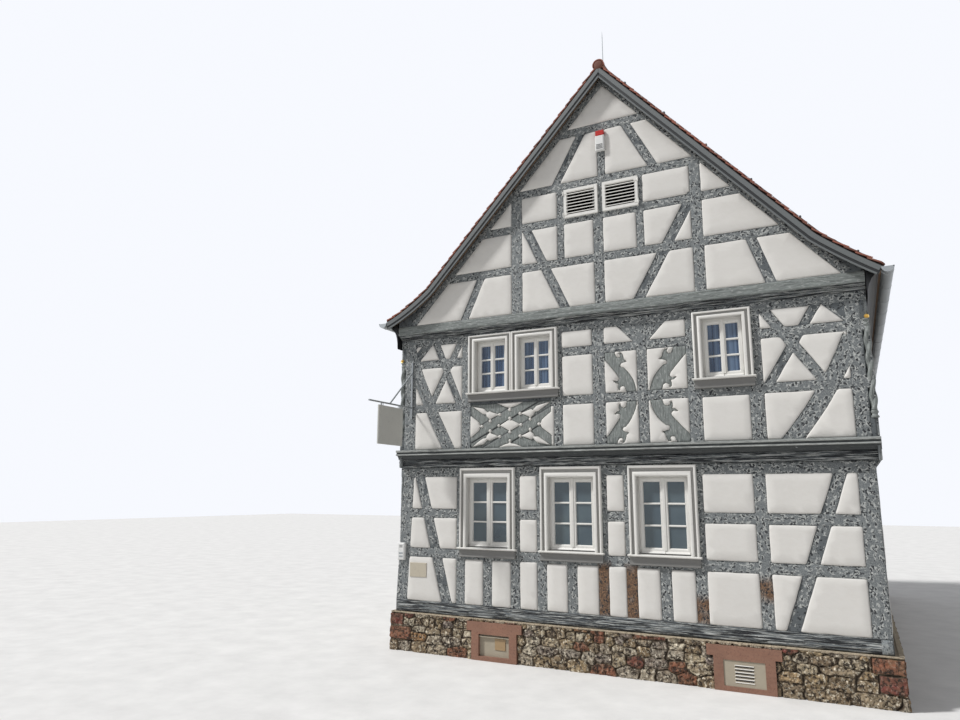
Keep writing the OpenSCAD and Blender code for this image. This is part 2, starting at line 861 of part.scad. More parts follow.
module gutters() {
    color(zinc_grey)
        for (right = [false, true]) {
            s = right ? 1 : -1;
            eave = slope_line(right, tile_t)[0];
            x = eave[0] + s * (gutter_r - 25);
            z = eave[1] - 10;
            along_y(verge_y0 - 10, verge_y1 + 10) intersection() {
                translate([x, z]) difference() {
                    circle(r = gutter_r);
                    circle(r = gutter_r - gutter_t);
                }
                difference() {
                    translate([x - gutter_r, z - gutter_r]) square([2 * gutter_r, gutter_r]);
                    slope_band(right, 0, roof_t);
                }
            }
            for (y = [verge_y0 - 10 - gutter_t, verge_y1 + 10])
                along_y(y, y + gutter_t) intersection() {
                    translate([x, z]) circle(r = gutter_r);
                    translate([x - gutter_r, z - gutter_r])
                        square([2 * gutter_r, gutter_r]);
                }
        }
}

// Gable walls
module gable_field() {
    left = slope_line(false, roof_t);
    right = slope_line(true, roof_t);
    translate([-x_left_upper, 0]) intersection() {
        polygon(concat([[eave_l - 50, z_attic - 500], [eave_r + 50, z_attic - 500]],
                       [[eave_r + 50, right[0][1]]], right, reversed(left),
                       [[eave_l - 50, left[0][1]]]));
        translate([x_left_upper, z_attic]) square([upper_w, upper_w]);
    }
}

gable_posts = [-1470, -130, 1305];
gable_studs = [-730, 500];

module gable_members() {
    ridge = ridge_point(0)[0] - x_left_upper;
    z = [for (r = gable_rails) z_attic + r];
    h = rail_h - 15;
    translate([-x_left_upper, 0]) for (right = [false, true]) straight_rafter(right);
    for (v = z) rail(upper_w, v, h);
    for (p = gable_posts) post(ridge + p, z_attic, z[2], post_w + (p == gable_posts[0] ? 30 : 0));
    for (p = gable_studs) post(ridge + p, z[0], z[2], 115);
    post(ridge - 55, z[2], z[3], 120);
    timber([ridge - 1340, z[1] + 40], [ridge - 650, z_attic - 60], brace_w - 10);
    timber([ridge + 1270, z[1] + 60], [ridge + 415, z_attic - 60], brace_w);
    for (s = [-1, 1]) {
        timber([ridge + s * 790 - 37, z[2]], [ridge + s * 322 - 17, z[3]], 125);
    }
    timber([ridge - 2420, z_attic - 40], [ridge - 2062, z[0] + 40], 130);
    timber([ridge + 2220, z_attic - 40], [ridge + 1960, z[0] + 40], 130);
}

rafter_h = 110;

// The gable's own rafter follows the straight slope, and the flare is closed under it
module straight_rafter(right) {
    line = slope_line(right, roof_t);
    m = right ? tan_r : tan_l;
    s = right ? 1 : -1;
    down = rafter_h * sqrt(1 + m * m);
    top = ridge_point(roof_t);
    foot = [top[0] + s * (top[1] - z_attic + 400) / m, z_attic - 400];
    polygon([top, [top[0], top[1] - down], [foot[0], foot[1] - down],
             [foot[0] + s * 900, foot[1] - down], [foot[0] + s * 900, foot[1] + 900]]);
}

module gable_frame_2d(openings = true) {
    difference() {
        intersection() {
            gable_members();
            gable_field();
        }
        if (openings) louvre_openings();
    }
}

// The two louvred openings between the studs and the middle post of the front gable
louvre_h = gable_rails[2] - gable_rails[1] - rail_h + 15;
function louvre_z() = z_attic + gable_rails[1] + rail_h / 2 - 7;
function louvre_spans() =
    let (ridge = ridge_point(0)[0] - x_left_upper)
    [[ridge + gable_studs[0] + 58, ridge + gable_posts[1] - post_w / 2],
     [ridge + gable_posts[1] + post_w / 2, ridge + gable_studs[1] - 58]];

module louvre_openings() {
    for (s = louvre_spans())
        translate([s[0], louvre_z()]) square([s[1] - s[0], louvre_h]);
}

module gable_infill_2d(openings) {
    difference() {
        gable_field();
        gable_frame_2d(openings);
        if (openings) louvre_openings();
    }
}

module gable_frame(side) {
    color(timber_grey) gable_wall(side, 0, timber_d) gable_frame_2d(side == 0);
}

// The rear gable is the front one seen from behind, without its openings
module gable_wall(side, d0, d1) {
    if (side == 0)
        gable_side(0, d0, d1) children();
    else
        translate([x_left_upper, house_d - d0, 0]) rotate([90, 0, 0])
            linear_extrude(d1 - d0) children();
}

module gable_infill(side) {
    color(plaster_cream) {
        gable_wall(side, -panel_proud, timber_d) gable_infill_2d(side == 0);
        gable_wall(side, timber_d, wall_t) difference() {
            gable_field();
            if (side == 0) louvre_openings();
        }
    }
}

// Louvred shutters, hung on the face of the timbers in front of the two openings
shutter_w = 540;
shutter_h = 460;
shutter_t = 40;
shutter_gap = 75;
shutter_mid = -82;
shutter_rail = 42;
shutter_slots = 7;
blade_w = 20;

module louvred_shutters() {
    middle = ridge_point(0)[0] - x_left_upper + shutter_mid;
    step = (shutter_h - 2 * shutter_rail) / shutter_slots;
    color(paint_white) for (u = [middle - shutter_gap / 2 - shutter_w, middle + shutter_gap / 2])
        gable_side(0, -shutter_t, 0) translate([u, z_attic + gable_rails[1] + 25]) difference() {
            square([shutter_w, shutter_h]);
            for (i = [0:shutter_slots - 1])
                translate([shutter_rail, shutter_rail + i * step + blade_w / 2])
                    square([shutter_w - 2 * shutter_rail, step - blade_w]);
        }
}

// Windows. A casing has a raised bead along its outer edge and another round each hole
outer_bead_w = 32;
inner_bead_w = 48;
bead_out = 15;
inner_bead_out = 8;
lining_t = 35;
head_lining_t = 20;
mullion_w = 215;
ledge_h = 22;
ledge_out = 45;
apron_h = 118;

// The clear hole of one leaf pair in a casing: its width and its left edge
function hole_w(w) = (w[1] - 2 * lining_t - (w[4] - 1) * mullion_w) / w[4];
function hole_left(w, i) = w[0] - w[1] / 2 + lining_t + i * (hole_w(w) + mullion_w);

module leaf_holes(w, grow = 0) {
    for (i = [0:w[4] - 1])
        translate([hole_left(w, i) - grow, w[2] - 1])
            square([hole_w(w) + 2 * grow, w[3] - head_lining_t + grow + 1]);
}

// The outline of a casing, less a border of a given width
module casing_outline(w, border = 0) {
    side = casing_lap - border;
    translate([w[0] - w[1] / 2 - side, w[2] - sign(border)])
        square([w[1] + 2 * side, w[3] + w[6] - border + sign(border)]);
}

module casing(upper, side, w) {
    on_storey(upper, side, -casing_out, 0) difference() {
        casing_outline(w);
        leaf_holes(w);
    }
    on_storey(upper, side, -casing_out - bead_out, -casing_out) difference() {
        casing_outline(w);
        casing_outline(w, outer_bead_w);
    }
    on_storey(upper, side, -casing_out - inner_bead_out, -casing_out) difference() {
        intersection() {
            leaf_holes(w, inner_bead_w);
            casing_outline(w);
        }
        leaf_holes(w);
    }
    on_storey(upper, side, 0, reveal_d) difference() {
        translate([w[0] - w[1] / 2, w[2]]) square([w[1], w[3]]);
        leaf_holes(w);
    }
    on_storey(upper, side, -casing_out - ledge_out, 0)
        translate([w[0] - w[1] / 2 - casing_lap - 25, w[2] - ledge_h])
            square([w[1] + 2 * casing_lap + 50, ledge_h]);
    on_storey(upper, side, -casing_out + 5, 0)
        translate([w[0] - w[1] / 2 - casing_lap - 5, w[2] - ledge_h - apron_h])
            square([w[1] + 2 * casing_lap + 10, apron_h]);
}

module on_storey(upper, side, d0, d1) {
    if (upper)
        upper_side(side, d0, d1) children();
    else
        ground_side(side, d0, d1) children();
}

module all_windows() {
    for (side = [0:3]) {
        for (w = ground_windows(side)) let ($upper = false, $side = side, $w = w) children();
        for (w = upper_windows(side)) let ($upper = true, $side = side, $w = w) children();
    }
}

module window_casings() {
    color(paint_white) all_windows() casing($upper, $side, $w);
}

module casement(upper, side, w) {
    on_storey(upper, side, reveal_d, reveal_d + leaf_t) difference() {
        translate([w[0] - w[1] / 2, w[2]]) square([w[1], w[3]]);
        pane_holes(w);
    }
}

// The glazed holes of a casement: two in each leaf pair
leaf_bottom_h = 94;
leaf_top_h = 76;

module pane_holes(w) {
    pane_w = (hole_w(w) - 2 * leaf_frame_w - w[5]) / 2;
    for (i = [0:w[4] - 1], k = [0, 1])
        translate([hole_left(w, i) + leaf_frame_w + k * (pane_w + w[5]), w[2] + leaf_bottom_h])
            square([pane_w, w[3] - head_lining_t - leaf_top_h - leaf_bottom_h]);
}

module window_casements() {
    color(paint_white) all_windows() casement($upper, $side, $w);
}

module window_glass() {
    y = reveal_d + (leaf_t - glass_t) / 2;
    color([0.45, 0.52, 0.58]) all_windows()
        on_storey($upper, $side, y, y + glass_t) pane_holes($w);
}

// The yard door on the left side, with stone steps
door_t = 60;
door_back = 40;
door_stile = 130;
door_recess = 15;

module yard_door() {
    color(board_grey) {
        ground_side(3, door_back + door_recess, door_back + door_t) door_opening();
        ground_side(3, door_back, door_back + door_recess) difference() {
            door_opening();
            door_panels();
        }
    }
}

// Two panels side by side in each of two rows
module door_panels() {
    w = (door_w - 3 * door_stile) / 2;
    h = (door_h - 3 * door_stile) / 2;
    for (i = [0, 1], k = [0, 1])
        translate([door_u - door_w / 2 + door_stile + i * (w + door_stile),
                   z_sill + door_stile + k * (h + door_stile)])
            square([w, h]);
}

step_n = 4;
step_run = 290;
step_w = 1400;

module door_steps() {
    rise = z_sill / step_n;
    color(sandstone_red) for (i = [0:step_n - 2])
        translate([x_left - plinth_side_out - (step_n - 1 - i) * step_run,
                   house_d - door_u - step_w / 2, i * rise])
            cube([(step_n - 1 - i) * step_run, step_w, rise]);
}

// Fittings on the front. The sign hangs from an arm that stands out from the left corner
sign_x = x_left + 260;
sign_w = 660;
sign_h = 600;
sign_t = 30;
sign_y = y_upper - 300 - sign_w;
sign_drop = 45;
arm_z = z_upper_floor + 695;
arm_l = 1185;
arm_strut_h = 585;
tube_r = 16;
tube_out = 25;
tube_z = arm_z - 180;
tube_h = 940;

module sign_bracket() {
    foot = y_upper - tube_out;
    arm_r = tube_r * 0.8;
    color(zinc_grey) {
        translate([sign_x, foot, tube_z]) cylinder(r = tube_r, h = tube_h);
        for (z = [tube_z + 60, tube_z + tube_h - 60])
            translate([sign_x, foot, z]) rotate([-90, 0, 0]) cylinder(r = tube_r, h = tube_out);
        translate([sign_x, foot - arm_l, arm_z]) rotate([-90, 0, 0])
            cylinder(r = arm_r, h = arm_l);
        rod([sign_x, foot - arm_l / 2 - 40, arm_z], [sign_x, foot, arm_z + arm_strut_h], arm_r);
        for (y = [sign_y + sign_w / 8, sign_y + sign_w * 7 / 8])
            translate([sign_x, y, arm_z - sign_drop]) cylinder(r = arm_r / 2, h = sign_drop);
    }
}

module rod(a, b, r) {
    d = b - a;
    translate(a) rotate([0, acos(d[2] / norm(d)), atan2(d[1], d[0])])
        cylinder(r = r, h = norm(d));
}

module sign_board() {
    color(cover_grey) translate([sign_x - sign_t / 2, sign_y, arm_z - sign_drop - sign_h])
        cube([sign_t, sign_w, sign_h]);
}

// A siren on the plaster under the ridge
siren_w = 140;
siren_h = 330;
siren_t = 60;

module wall_siren() {
    color(paint_white)
        translate([ridge_point(0)[0] + 20 - siren_w, y_gable - panel_proud - siren_t,
                   z_attic + 2370])
            cube([siren_w, siren_t, siren_h]);
}

module bell_box() {
    color(paint_white) translate([x_left - 10, -60, z_sill + 610]) cube([130, 60, 270]);
}

module lightning_rod() {
    top = ridge_point(0);
    color(zinc_grey) translate([top[0], verge_y0 + 250, top[1] + ridge_r * ridge_rise - 1])
        cylinder(r = 8, h = 640);
}

plinth_front();
plinth_rear();
plinth_sides();
cellar_surrounds();
cellar_panels();
ground_floor();
ground_frame([0]);  // ground_frame_front
ground_frame([2]);  // ground_frame_rear
ground_frame([1, 3]);  // ground_frame_sides
ground_infill([0]);  // ground_infill_front
ground_infill([2]);  // ground_infill_rear
ground_infill([1, 3]);  // ground_infill_sides
jetty_beam();
upper_floor();
upper_frame([0]);  // upper_frame_front
upper_frame([2]);  // upper_frame_rear
upper_frame([1, 3]);  // upper_frame_sides
upper_infill([0]);  // upper_infill_front
upper_infill([2]);  // upper_infill_rear
upper_infill([1, 3]);  // upper_infill_sides
carved_braces();
corner_columns();
gable_beam();
attic_floor();
gable_frame(0);  // gable_frame_front
gable_frame(2);  // gable_frame_rear
gable_infill(0);  // gable_infill_front
gable_infill(2);  // gable_infill_rear
roof_slope(false);  // roof_left
roof_slope(true);  // roof_right
ridge_tiles();
barge_boards();
eaves_cornices();
gutters();
window_casings();
window_casements();
window_glass();
louvred_shutters();
yard_door();
door_steps();
sign_bracket();
sign_board();
wall_siren();
bell_box();
lightning_rod();
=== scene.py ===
"""Looks of the half timbered house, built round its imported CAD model.

Everything is in metres in the model's own frame: +X along the street front, +Y into the house
and +Z up. Each wall is worked in its own plane, with u to the right as seen from outside, v up
and h out of the wall.
"""

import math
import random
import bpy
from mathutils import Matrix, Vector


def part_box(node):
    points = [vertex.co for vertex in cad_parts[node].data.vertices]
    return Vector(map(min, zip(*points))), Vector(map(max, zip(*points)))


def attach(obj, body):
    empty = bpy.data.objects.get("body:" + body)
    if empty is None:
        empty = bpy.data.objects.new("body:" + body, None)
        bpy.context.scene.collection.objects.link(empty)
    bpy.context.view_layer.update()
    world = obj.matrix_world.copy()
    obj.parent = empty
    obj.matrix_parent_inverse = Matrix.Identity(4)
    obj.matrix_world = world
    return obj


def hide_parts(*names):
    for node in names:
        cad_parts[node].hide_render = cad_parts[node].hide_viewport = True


bl_info = {
    "name": "Half Timbered House",
    "version": (1, 0, 0),
    "blender": (4, 5, 0),
    "location": "View3D > Sidebar > House",
    "description": "Builds the finishes and fine parts of a half timbered house round its frame",
    "category": "Add Mesh",
}

from collections import namedtuple

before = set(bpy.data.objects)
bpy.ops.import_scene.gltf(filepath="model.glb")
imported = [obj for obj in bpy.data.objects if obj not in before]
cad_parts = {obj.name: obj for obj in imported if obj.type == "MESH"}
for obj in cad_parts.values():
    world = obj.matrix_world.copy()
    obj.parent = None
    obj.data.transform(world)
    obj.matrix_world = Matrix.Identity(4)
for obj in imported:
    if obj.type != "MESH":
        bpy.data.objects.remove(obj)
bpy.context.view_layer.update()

import bmesh
import bpy
import numpy as np
from bpy.props import FloatProperty, FloatVectorProperty, PointerProperty
from mathutils import Matrix, Vector, noise
from mathutils.geometry import delaunay_2d_cdt

BODY = "root"
UP = Vector((0, 0, 1))


# Sizes and colours that a user would change

class HouseSizes(bpy.types.PropertyGroup):
    """Sizes of the fine parts."""

    plaster_round: FloatProperty(
        name="Plaster rounding", default=0.020, unit="LENGTH",
        description="Width of the rounded rim of a plastered panel")
    plaster_lap: FloatProperty(
        name="Plaster lap", default=0.001, unit="LENGTH",
        description="How far the plaster laps over the edges of the timbers")
    plaster_wave: FloatProperty(
        name="Plaster unevenness", default=0.004, unit="LENGTH",
        description="How far the plaster's face and edge wander")
    timber_wave: FloatProperty(
        name="Timber unevenness", default=0.005, unit="LENGTH",
        description="How far a hewn face stands in and out")
    tile_w: FloatProperty(
        name="Tile width", default=0.172, unit="LENGTH",
        description="Width of a plain roof tile")
    tile_gauge: FloatProperty(
        name="Tile gauge", default=0.150, unit="LENGTH",
        description="Length of each tile that shows under the next course")
    stone_h: FloatProperty(
        name="Stone height", default=0.108, unit="LENGTH",
        description="Usual height of a rubble stone")
    stone_rough: FloatProperty(
        name="Stone roughness", default=0.025, unit="LENGTH",
        description="How far a rubble stone's face is broken in and out")


class HouseColours(bpy.types.PropertyGroup):
    """Colours of the finishes."""

    timber: FloatVectorProperty(
        name="Timber paint", default=(0.100, 0.112, 0.118), subtype="COLOR",
        description="Slate grey paint on the timbers")
    # Also the colour of painted highlights: the rims beside the nicks, and carved timber where
    # the tint is high
    timber_worn_and_lit: FloatVectorProperty(
        name="Worn timber", default=(0.45, 0.46, 0.44), subtype="COLOR",
        description="Ridges where the paint has worn off")
    plaster: FloatVectorProperty(
        name="Plaster", default=(0.655, 0.635, 0.60), subtype="COLOR",
        description="Warm off-white lime plaster")
    paint: FloatVectorProperty(
        name="Window paint", default=(0.73, 0.715, 0.675), subtype="COLOR",
        description="Cream oil paint on windows and casings")
    sandstone: FloatVectorProperty(
        name="Sandstone", default=(0.232, 0.112, 0.072), subtype="COLOR",
        description="Red sandstone of the cellar surrounds")
    tile: FloatVectorProperty(
        name="Roof tile", default=(0.21, 0.062, 0.04), subtype="COLOR",
        description="Old fired roof tile")


def sizes():
    return bpy.context.scene.house_sizes


def colours():
    return bpy.context.scene.house_colours


# Levels and walls, read from the frame

PLINTH_TOP, GROUND_SILL, GROUND_PLATE, UPPER_SILL, UPPER_PLATE, ATTIC_SILL = (
    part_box(node)[1].z for node in ("plinth_front", "ground_floor", "ground_frame_front",
                                   "upper_floor", "upper_frame_front", "attic_floor"))
GROUND_HEAD = GROUND_PLATE - 0.150
UPPER_HEAD = UPPER_PLATE - 0.120
WALL_T = 0.200
TIMBER_T = 0.180
POST_W = 0.155
CORNER_W = 0.205
STUD_W = 0.155
RAIL_H = 0.145
BRACE_W = 0.150
CROSS_W = 0.115
FRONT, RIGHT, REAR, LEFT = range(4)
ALONG = ((1, 0, 0), (0, 1, 0), (-1, 0, 0), (0, -1, 0))


class Wall:
    """A plane with u to the right as seen from outside, v up and h out of the wall."""

    def __init__(self, side, origin, length):
        self.side = side
        self.origin = Vector((*origin, 0))
        self.u_dir = Vector(ALONG[side])
        self.out = Vector(ALONG[side - 1])
        self.length = length

    def at(self, u, v, h=0.0):
        return self.origin + self.u_dir * u + UP * v + self.out * h

    def uvh(self, p):
        offset = p - self.origin
        return offset.dot(self.u_dir), p.z, offset.dot(self.out)

    def extent(self, box):
        """Lowest u, v and h of a box, and then its highest ones."""
        a, b = (self.uvh(corner) for corner in box)
        return [pick(p, q) for pick in (min, max) for p, q in zip(a, b)]


def four_walls(x0, y0, x1, y1):
    """The front, right, rear and left faces round a plan."""
    corners = ((x0, y0), (x1, y0), (x1, y1), (x0, y1))
    return [Wall(side, corner, y1 - y0 if side in (RIGHT, LEFT) else x1 - x0)
            for side, corner in enumerate(corners)]


def storey_walls(front, rear):
    """The walls of one storey, from the boxes of its front and rear frames."""
    low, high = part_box(rear)
    return four_walls(low.x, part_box(front)[0].y, high.x, high.y)


GROUND = storey_walls("ground_frame_front", "ground_frame_rear")
UPPER = storey_walls("upper_frame_front", "upper_frame_rear")
GABLE = storey_walls("gable_frame_front", "upper_frame_rear")


# Outlines and boxes from the frame

def joined_points(mesh):
    """The index of each vertex's place, so that vertices in one place count as one."""
    keys = {}
    points = []
    ids = []
    for vert in mesh.vertices:
        key = tuple(round(c * 20000) for c in vert.co)
        if key not in keys:
            keys[key] = len(points)
            points.append(vert.co.copy())
        ids.append(keys[key])
    return points, ids


def flat_outlines(node, wall, h_min, h_max, inward=False):
    """Loops round the flat faces of a node that look out of the wall, or into the house."""
    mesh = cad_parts[node].data
    points, ids = joined_points(mesh)
    facing = -wall.out if inward else wall.out
    edges = set()
    for poly in mesh.polygons:
        h = wall.uvh(poly.center)[2]
        if poly.normal.dot(facing) < 0.999 or not h_min <= h <= h_max:
            continue
        loop = [ids[i] for i in poly.vertices]
        edges.update(zip(loop, loop[1:] + loop[:1]))
    onward = {}
    for a, b in edges:
        if (b, a) not in edges:
            onward.setdefault(a, []).append(b)
    loops = []
    while onward:
        start = next(iter(onward))
        loop = [start]
        at = start
        while True:
            ways = onward[at]
            at = ways.pop()
            if not ways:
                del onward[loop[-1]]
            if at == start:
                break
            loop.append(at)
        flat = straightened([wall.uvh(points[i])[:2] for i in loop])
        if len(flat) > 2:
            loops.append(flat[::-1] if inward else flat)
    return sorted(loops, key=lambda one: (round(loop_box(one)[0], 3), round(loop_box(one)[1], 3)))


def straightened(loop):
    """The loop without points that lie on a straight line between their neighbours."""
    kept = []
    for p, (a, b, c) in zip(loop, corners_of(loop)):
        ab, bc = b - a, c - b
        if ab.length < 1e-5:
            continue
        if abs(ab.x * bc.y - ab.y * bc.x) > 1e-3 * ab.length * bc.length or ab.dot(bc) < 0:
            kept.append(p)
    return kept


def corners_of(loop):
    """Each point of a loop between its two neighbours."""
    points = [Vector(p) for p in loop]
    return zip(points[-1:] + points[:-1], points, points[1:] + points[:1])


def loop_area(loop):
    return 0.5 * sum(a[0] * b[1] - b[0] * a[1] for a, b in zip(loop, loop[1:] + loop[:1]))


def loop_box(loop):
    us, vs = zip(*loop)
    return min(us), min(vs), max(us), max(vs)


def solid_boxes(node):
    """Lowest and highest corners of each separate solid of a node."""
    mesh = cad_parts[node].data
    points, ids = joined_points(mesh)
    group = list(range(len(points)))

    def root_of(i):
        while group[i] != i:
            group[i] = group[group[i]]
            i = group[i]
        return i

    for poly in mesh.polygons:
        first = root_of(ids[poly.vertices[0]])
        for i in poly.vertices[1:]:
            group[root_of(ids[i])] = first
    solids = {}
    for i, p in enumerate(points):
        solids.setdefault(root_of(i), []).append(p)
    boxes = [tuple(Vector(map(pick, *solid)) for pick in (min, max)) for solid in solids.values()]
    return sorted(boxes, key=lambda box: tuple(round(c, 3) for c in box[0]))


# Windows, read from the frame

class Window:
    """A window's clear opening in its wall, with the panes of each pair of leaves."""

    def __init__(self, low, high):
        self.storey = "ground" if low.z < GROUND_PLATE else "upper"
        middle = (low + high) / 2
        self.wall = min(GROUND if self.storey == "ground" else UPPER,
                        key=lambda wall: abs(wall.uvh(middle)[2]))
        self.u0, self.z0, _, self.u1, self.z1, _ = self.wall.extent((low, high))
        self.u = (self.u0 + self.u1) / 2
        self.panes = []
        for glass in solid_boxes("window_glass"):
            u0, v0, _, u1, v1, _ = self.wall.extent(glass)
            if (abs(self.wall.uvh(glass[0])[2]) < 0.3 and self.u0 < u0 and u1 < self.u1
                    and self.z0 < v0 < self.z1):
                self.panes.append((u0, v0, u1, v1))
        self.panes.sort()


WINDOWS = [Window(*box) for box in solid_boxes("window_casements")]


def windows_in(walls, side):
    return [w for w in WINDOWS if w.wall is walls[side]]


# Mesh building

class Builder:
    """Gathers faces for one object, with a uv in metres along the material's grain."""

    def __init__(self):
        self.verts = []
        self.faces = []
        self.uvs = []
        self.mats = []
        self.tints = []
        self.stains = []

    def add(self, verts, faces, uvs=None, mat=0, tint=0.5, stains=None):
        base = len(self.verts)
        count = len(verts)
        self.verts.extend(tuple(v) for v in verts)
        self.uvs.extend(uvs or [(0.0, 0.0)] * count)
        self.tints.extend(tint if isinstance(tint, list) else [tint] * count)
        self.stains.extend(stains or [0.0] * count)
        self.faces.extend(tuple(base + i for i in face) for face in faces)
        self.mats.extend([mat] * len(faces))

    def make(self, name, finishes, slot, *nodes, angle=35.0):
        """One object that rides on the house, in place of the nodes."""
        mesh = bpy.data.meshes.new(name)
        mesh.from_pydata(self.verts, [], self.faces)
        corners = np.empty(len(mesh.loops), np.int32)
        mesh.loops.foreach_get("vertex_index", corners)
        uv = mesh.uv_layers.new(name="grain")
        uv.data.foreach_set("uv", np.array(self.uvs, np.float32)[corners].ravel())
        # The stain value is real rust on the timbers, painted shade in the rubble's joints and
        # the lattice's lap grooves, and -1 on the rubble's pale mortar bed
        for label, values in (("tint", self.tints), ("stain", self.stains)):
            mesh.attributes.new(label, "FLOAT", "POINT").data.foreach_set("value", values)
        for finish in finishes.split():
            mesh.materials.append(material_of(finish))
        mesh.polygons.foreach_set("material_index", self.mats)
        mesh.polygons.foreach_set("use_smooth", [True] * len(self.faces))
        shape = bmesh.new()
        shape.from_mesh(mesh)
        bmesh.ops.recalc_face_normals(shape, faces=shape.faces)
        shape.to_mesh(mesh)
        shape.free()
        mesh.validate()
        mesh.update()
        mesh.set_sharp_from_angle(angle=math.radians(angle))
        obj = bpy.data.objects.new(name, mesh)
        bpy.context.scene.collection.objects.link(obj)
        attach(obj, BODY)
        if nodes:
            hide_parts(*nodes)


def paint_node(node, finish):
    """Give a node of the frame that stays in view its finish."""
    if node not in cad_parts:
        return
    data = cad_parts[node]
    if not data.material_slots:
        data.data.materials.append(material_of(finish))
    for slot in data.material_slots:
        slot.link = "OBJECT"
        slot.material = material_of(finish)


def ripple(x, y, scale, seed=0.0):
    """Smooth noise between about -1 and 1 that changes over a length of scale."""
    return noise.noise(Vector((x / scale + seed, y / scale - seed, seed * 1.3)))


def edges_of(loop):
    """The start points of a loop's edges and their end points."""
    a = np.array(loop, float)
    return a, np.roll(a, -1, 0)


def distance_to_loops(points, loops):
    """Distance of each point to the nearest edge of the loops."""
    best = np.full(len(points), 1e9)
    for loop in loops:
        for a, b in zip(*edges_of(loop)):
            ab = b - a
            t = np.clip(((points - a) @ ab) / max(ab @ ab, 1e-12), 0, 1)
            best = np.minimum(best, np.linalg.norm(points - (a + t[:, None] * ab), axis=1))
    return best


def inside_loops(points, loops):
    """True for points inside an odd number of loops."""
    inside = np.zeros(len(points), bool)
    x, y = points[:, 0], points[:, 1]
    for loop in loops:
        for (ax, ay), (bx, by) in zip(*edges_of(loop)):
            if ay != by:
                cross = (ay > y) != (by > y)
                inside ^= cross & (x < ax + (y - ay) * (bx - ax) / (by - ay))
    return inside


def resampled(loop, step):
    """The loop with a point at least every step along its edges."""
    points = []
    for a, b in zip(loop, loop[1:] + loop[:1]):
        n = max(1, round(math.dist(a, b) / step))
        points.extend((a[0] + (b[0] - a[0]) * i / n, a[1] + (b[1] - a[1]) * i / n)
                      for i in range(n))
    return points


def corner_normals(loop):
    """For each point of a loop, the unit vector that points out of it."""
    normals = []
    for a, b, c in corners_of(loop):
        along = (b - a).normalized() + (c - b).normalized()
        if along.length < 1e-6:
            along = c - b
        normals.append(Vector((along.y, -along.x)).normalized())
    return normals


def wandering(loop, lap, wave, seed):
    """The loop moved out by lap, with edges that wander in and out."""
    moved = []
    for p, out in zip(loop, corner_normals(loop)):
        shift = lap + wave * (ripple(*p, 0.21, seed) + 0.5 * ripple(*p, 0.06, seed))
        moved.append((p[0] + out.x * shift, p[1] + out.y * shift))
    return moved


def relief(build, wall, loops, height, rings, grid, back, seed=0.0, stain=None):
    """A closed plate inside the loops whose face stands at height(d, u, v), where d is the
    distance from the edge, with rows of points at the rings' distances."""
    points = [p for loop in loops for p in loop]
    rim = len(points)
    edges = []
    extra = []
    for loop in loops:
        base = len(edges)
        n = len(loop)
        edges.extend((base + i, base + (i + 1) % n) for i in range(n))
        for p, out in zip(loop, corner_normals(loop)):
            extra.extend((p[0] - out.x * d, p[1] - out.y * d, 0.9 * d) for d in rings)
    u0, v0, u1, v1 = loop_box(loops[0])
    rng = random.Random(int(seed * 1000) + 7)
    if grid:
        extra += [(u0 + (i + 0.5 + 0.3 * (rng.random() - 0.5)) * grid,
                   v0 + (j + 0.5 + 0.3 * (rng.random() - 0.5)) * grid, rings[-1] + 0.4 * grid)
                  for i in range(int((u1 - u0) / grid)) for j in range(int((v1 - v0) / grid))]
    if extra:
        *place, least = np.array(extra, float).T
        place = np.column_stack(place)
        keep = (distance_to_loops(place, loops) > least) & inside_loops(place, loops)
        points += [tuple(p) for p in place[keep]]
    flat, _, tris, origins = delaunay_2d_cdt([Vector(p) for p in points], edges, [], 1, 1e-6)[:4]
    flat = np.array([tuple(v) for v in flat], float).reshape(-1, 2)
    middles = np.array([flat[list(t)].mean(0) for t in tris]).reshape(-1, 2)
    faces = [tri for tri, inside in zip(tris, inside_loops(middles, loops)) if inside]
    count = len(flat)
    faces += [[count + i for i in tri] for tri in faces]
    first = {origin: i for i, found in enumerate(origins) for origin in found if origin < rim}
    base = 0
    for loop in loops:
        ring = [first[base + i] for i in range(len(loop)) if base + i in first]
        faces += [(i, count + i, count + j, j) for i, j in zip(ring, ring[1:] + ring[:1])
                  if i != j]
        base += len(loop)
    d = distance_to_loops(flat, loops)
    top = [wall.at(*p, height(d[i], *p)) for i, p in enumerate(flat)]
    bottom = [wall.at(*p, back) for p in flat]
    uvs = [(p[0] + seed, p[1] + seed) for p in flat]
    build.add(top + bottom, faces, uvs * 2,
              stains=[stain(*p) for p in flat] * 2 if stain else None)


def grid_faces(rows, columns, closed=False):
    """Faces of a grid of points that is given row by row, closed round each row if asked."""
    return [(r * columns + c, r * columns + (c + 1) % columns,
             (r + 1) * columns + (c + 1) % columns, (r + 1) * columns + c)
            for r in range(rows - 1) for c in range(columns if closed else columns - 1)]


def loft(build, rings, uvs=None, mat=0, tint=0.5):
    """A closed solid through rings of points, with flat ends."""
    rows, n = len(rings), len(rings[0])
    faces = grid_faces(rows, n, closed=True) + [range(n), range((rows - 1) * n, rows * n)]
    build.add([p for ring in rings for p in ring], faces, uvs, mat, tint)


def bar(build, wall, u0, u1, profile, mat=0, tint=0.5):
    """A level moulding, board or blade from u0 to u1 with a closed profile of (h, v)."""
    loft(build, [[wall.at(u, v, h) for h, v in profile] for u in (u0, u1)], None, mat, tint)


def stepped(build, wall, box, steps, mat=0, tint=0.5):
    """A box of (u0, v0, u1, v1) on a wall, drawn in by each step's inset at its height."""
    u0, v0, u1, v1 = box
    corners = ((u0, v0, 1, 1), (u1, v0, -1, 1), (u1, v1, -1, -1), (u0, v1, 1, -1))
    turn = (u1 - u0) > (v1 - v0)
    loft(build, [[wall.at(u + a * inset, v + b * inset, h) for u, v, a, b in corners]
                 for inset, h in steps],
         [(v, u) if turn else (u, v) for u, v, _, _ in corners] * len(steps), mat, tint)


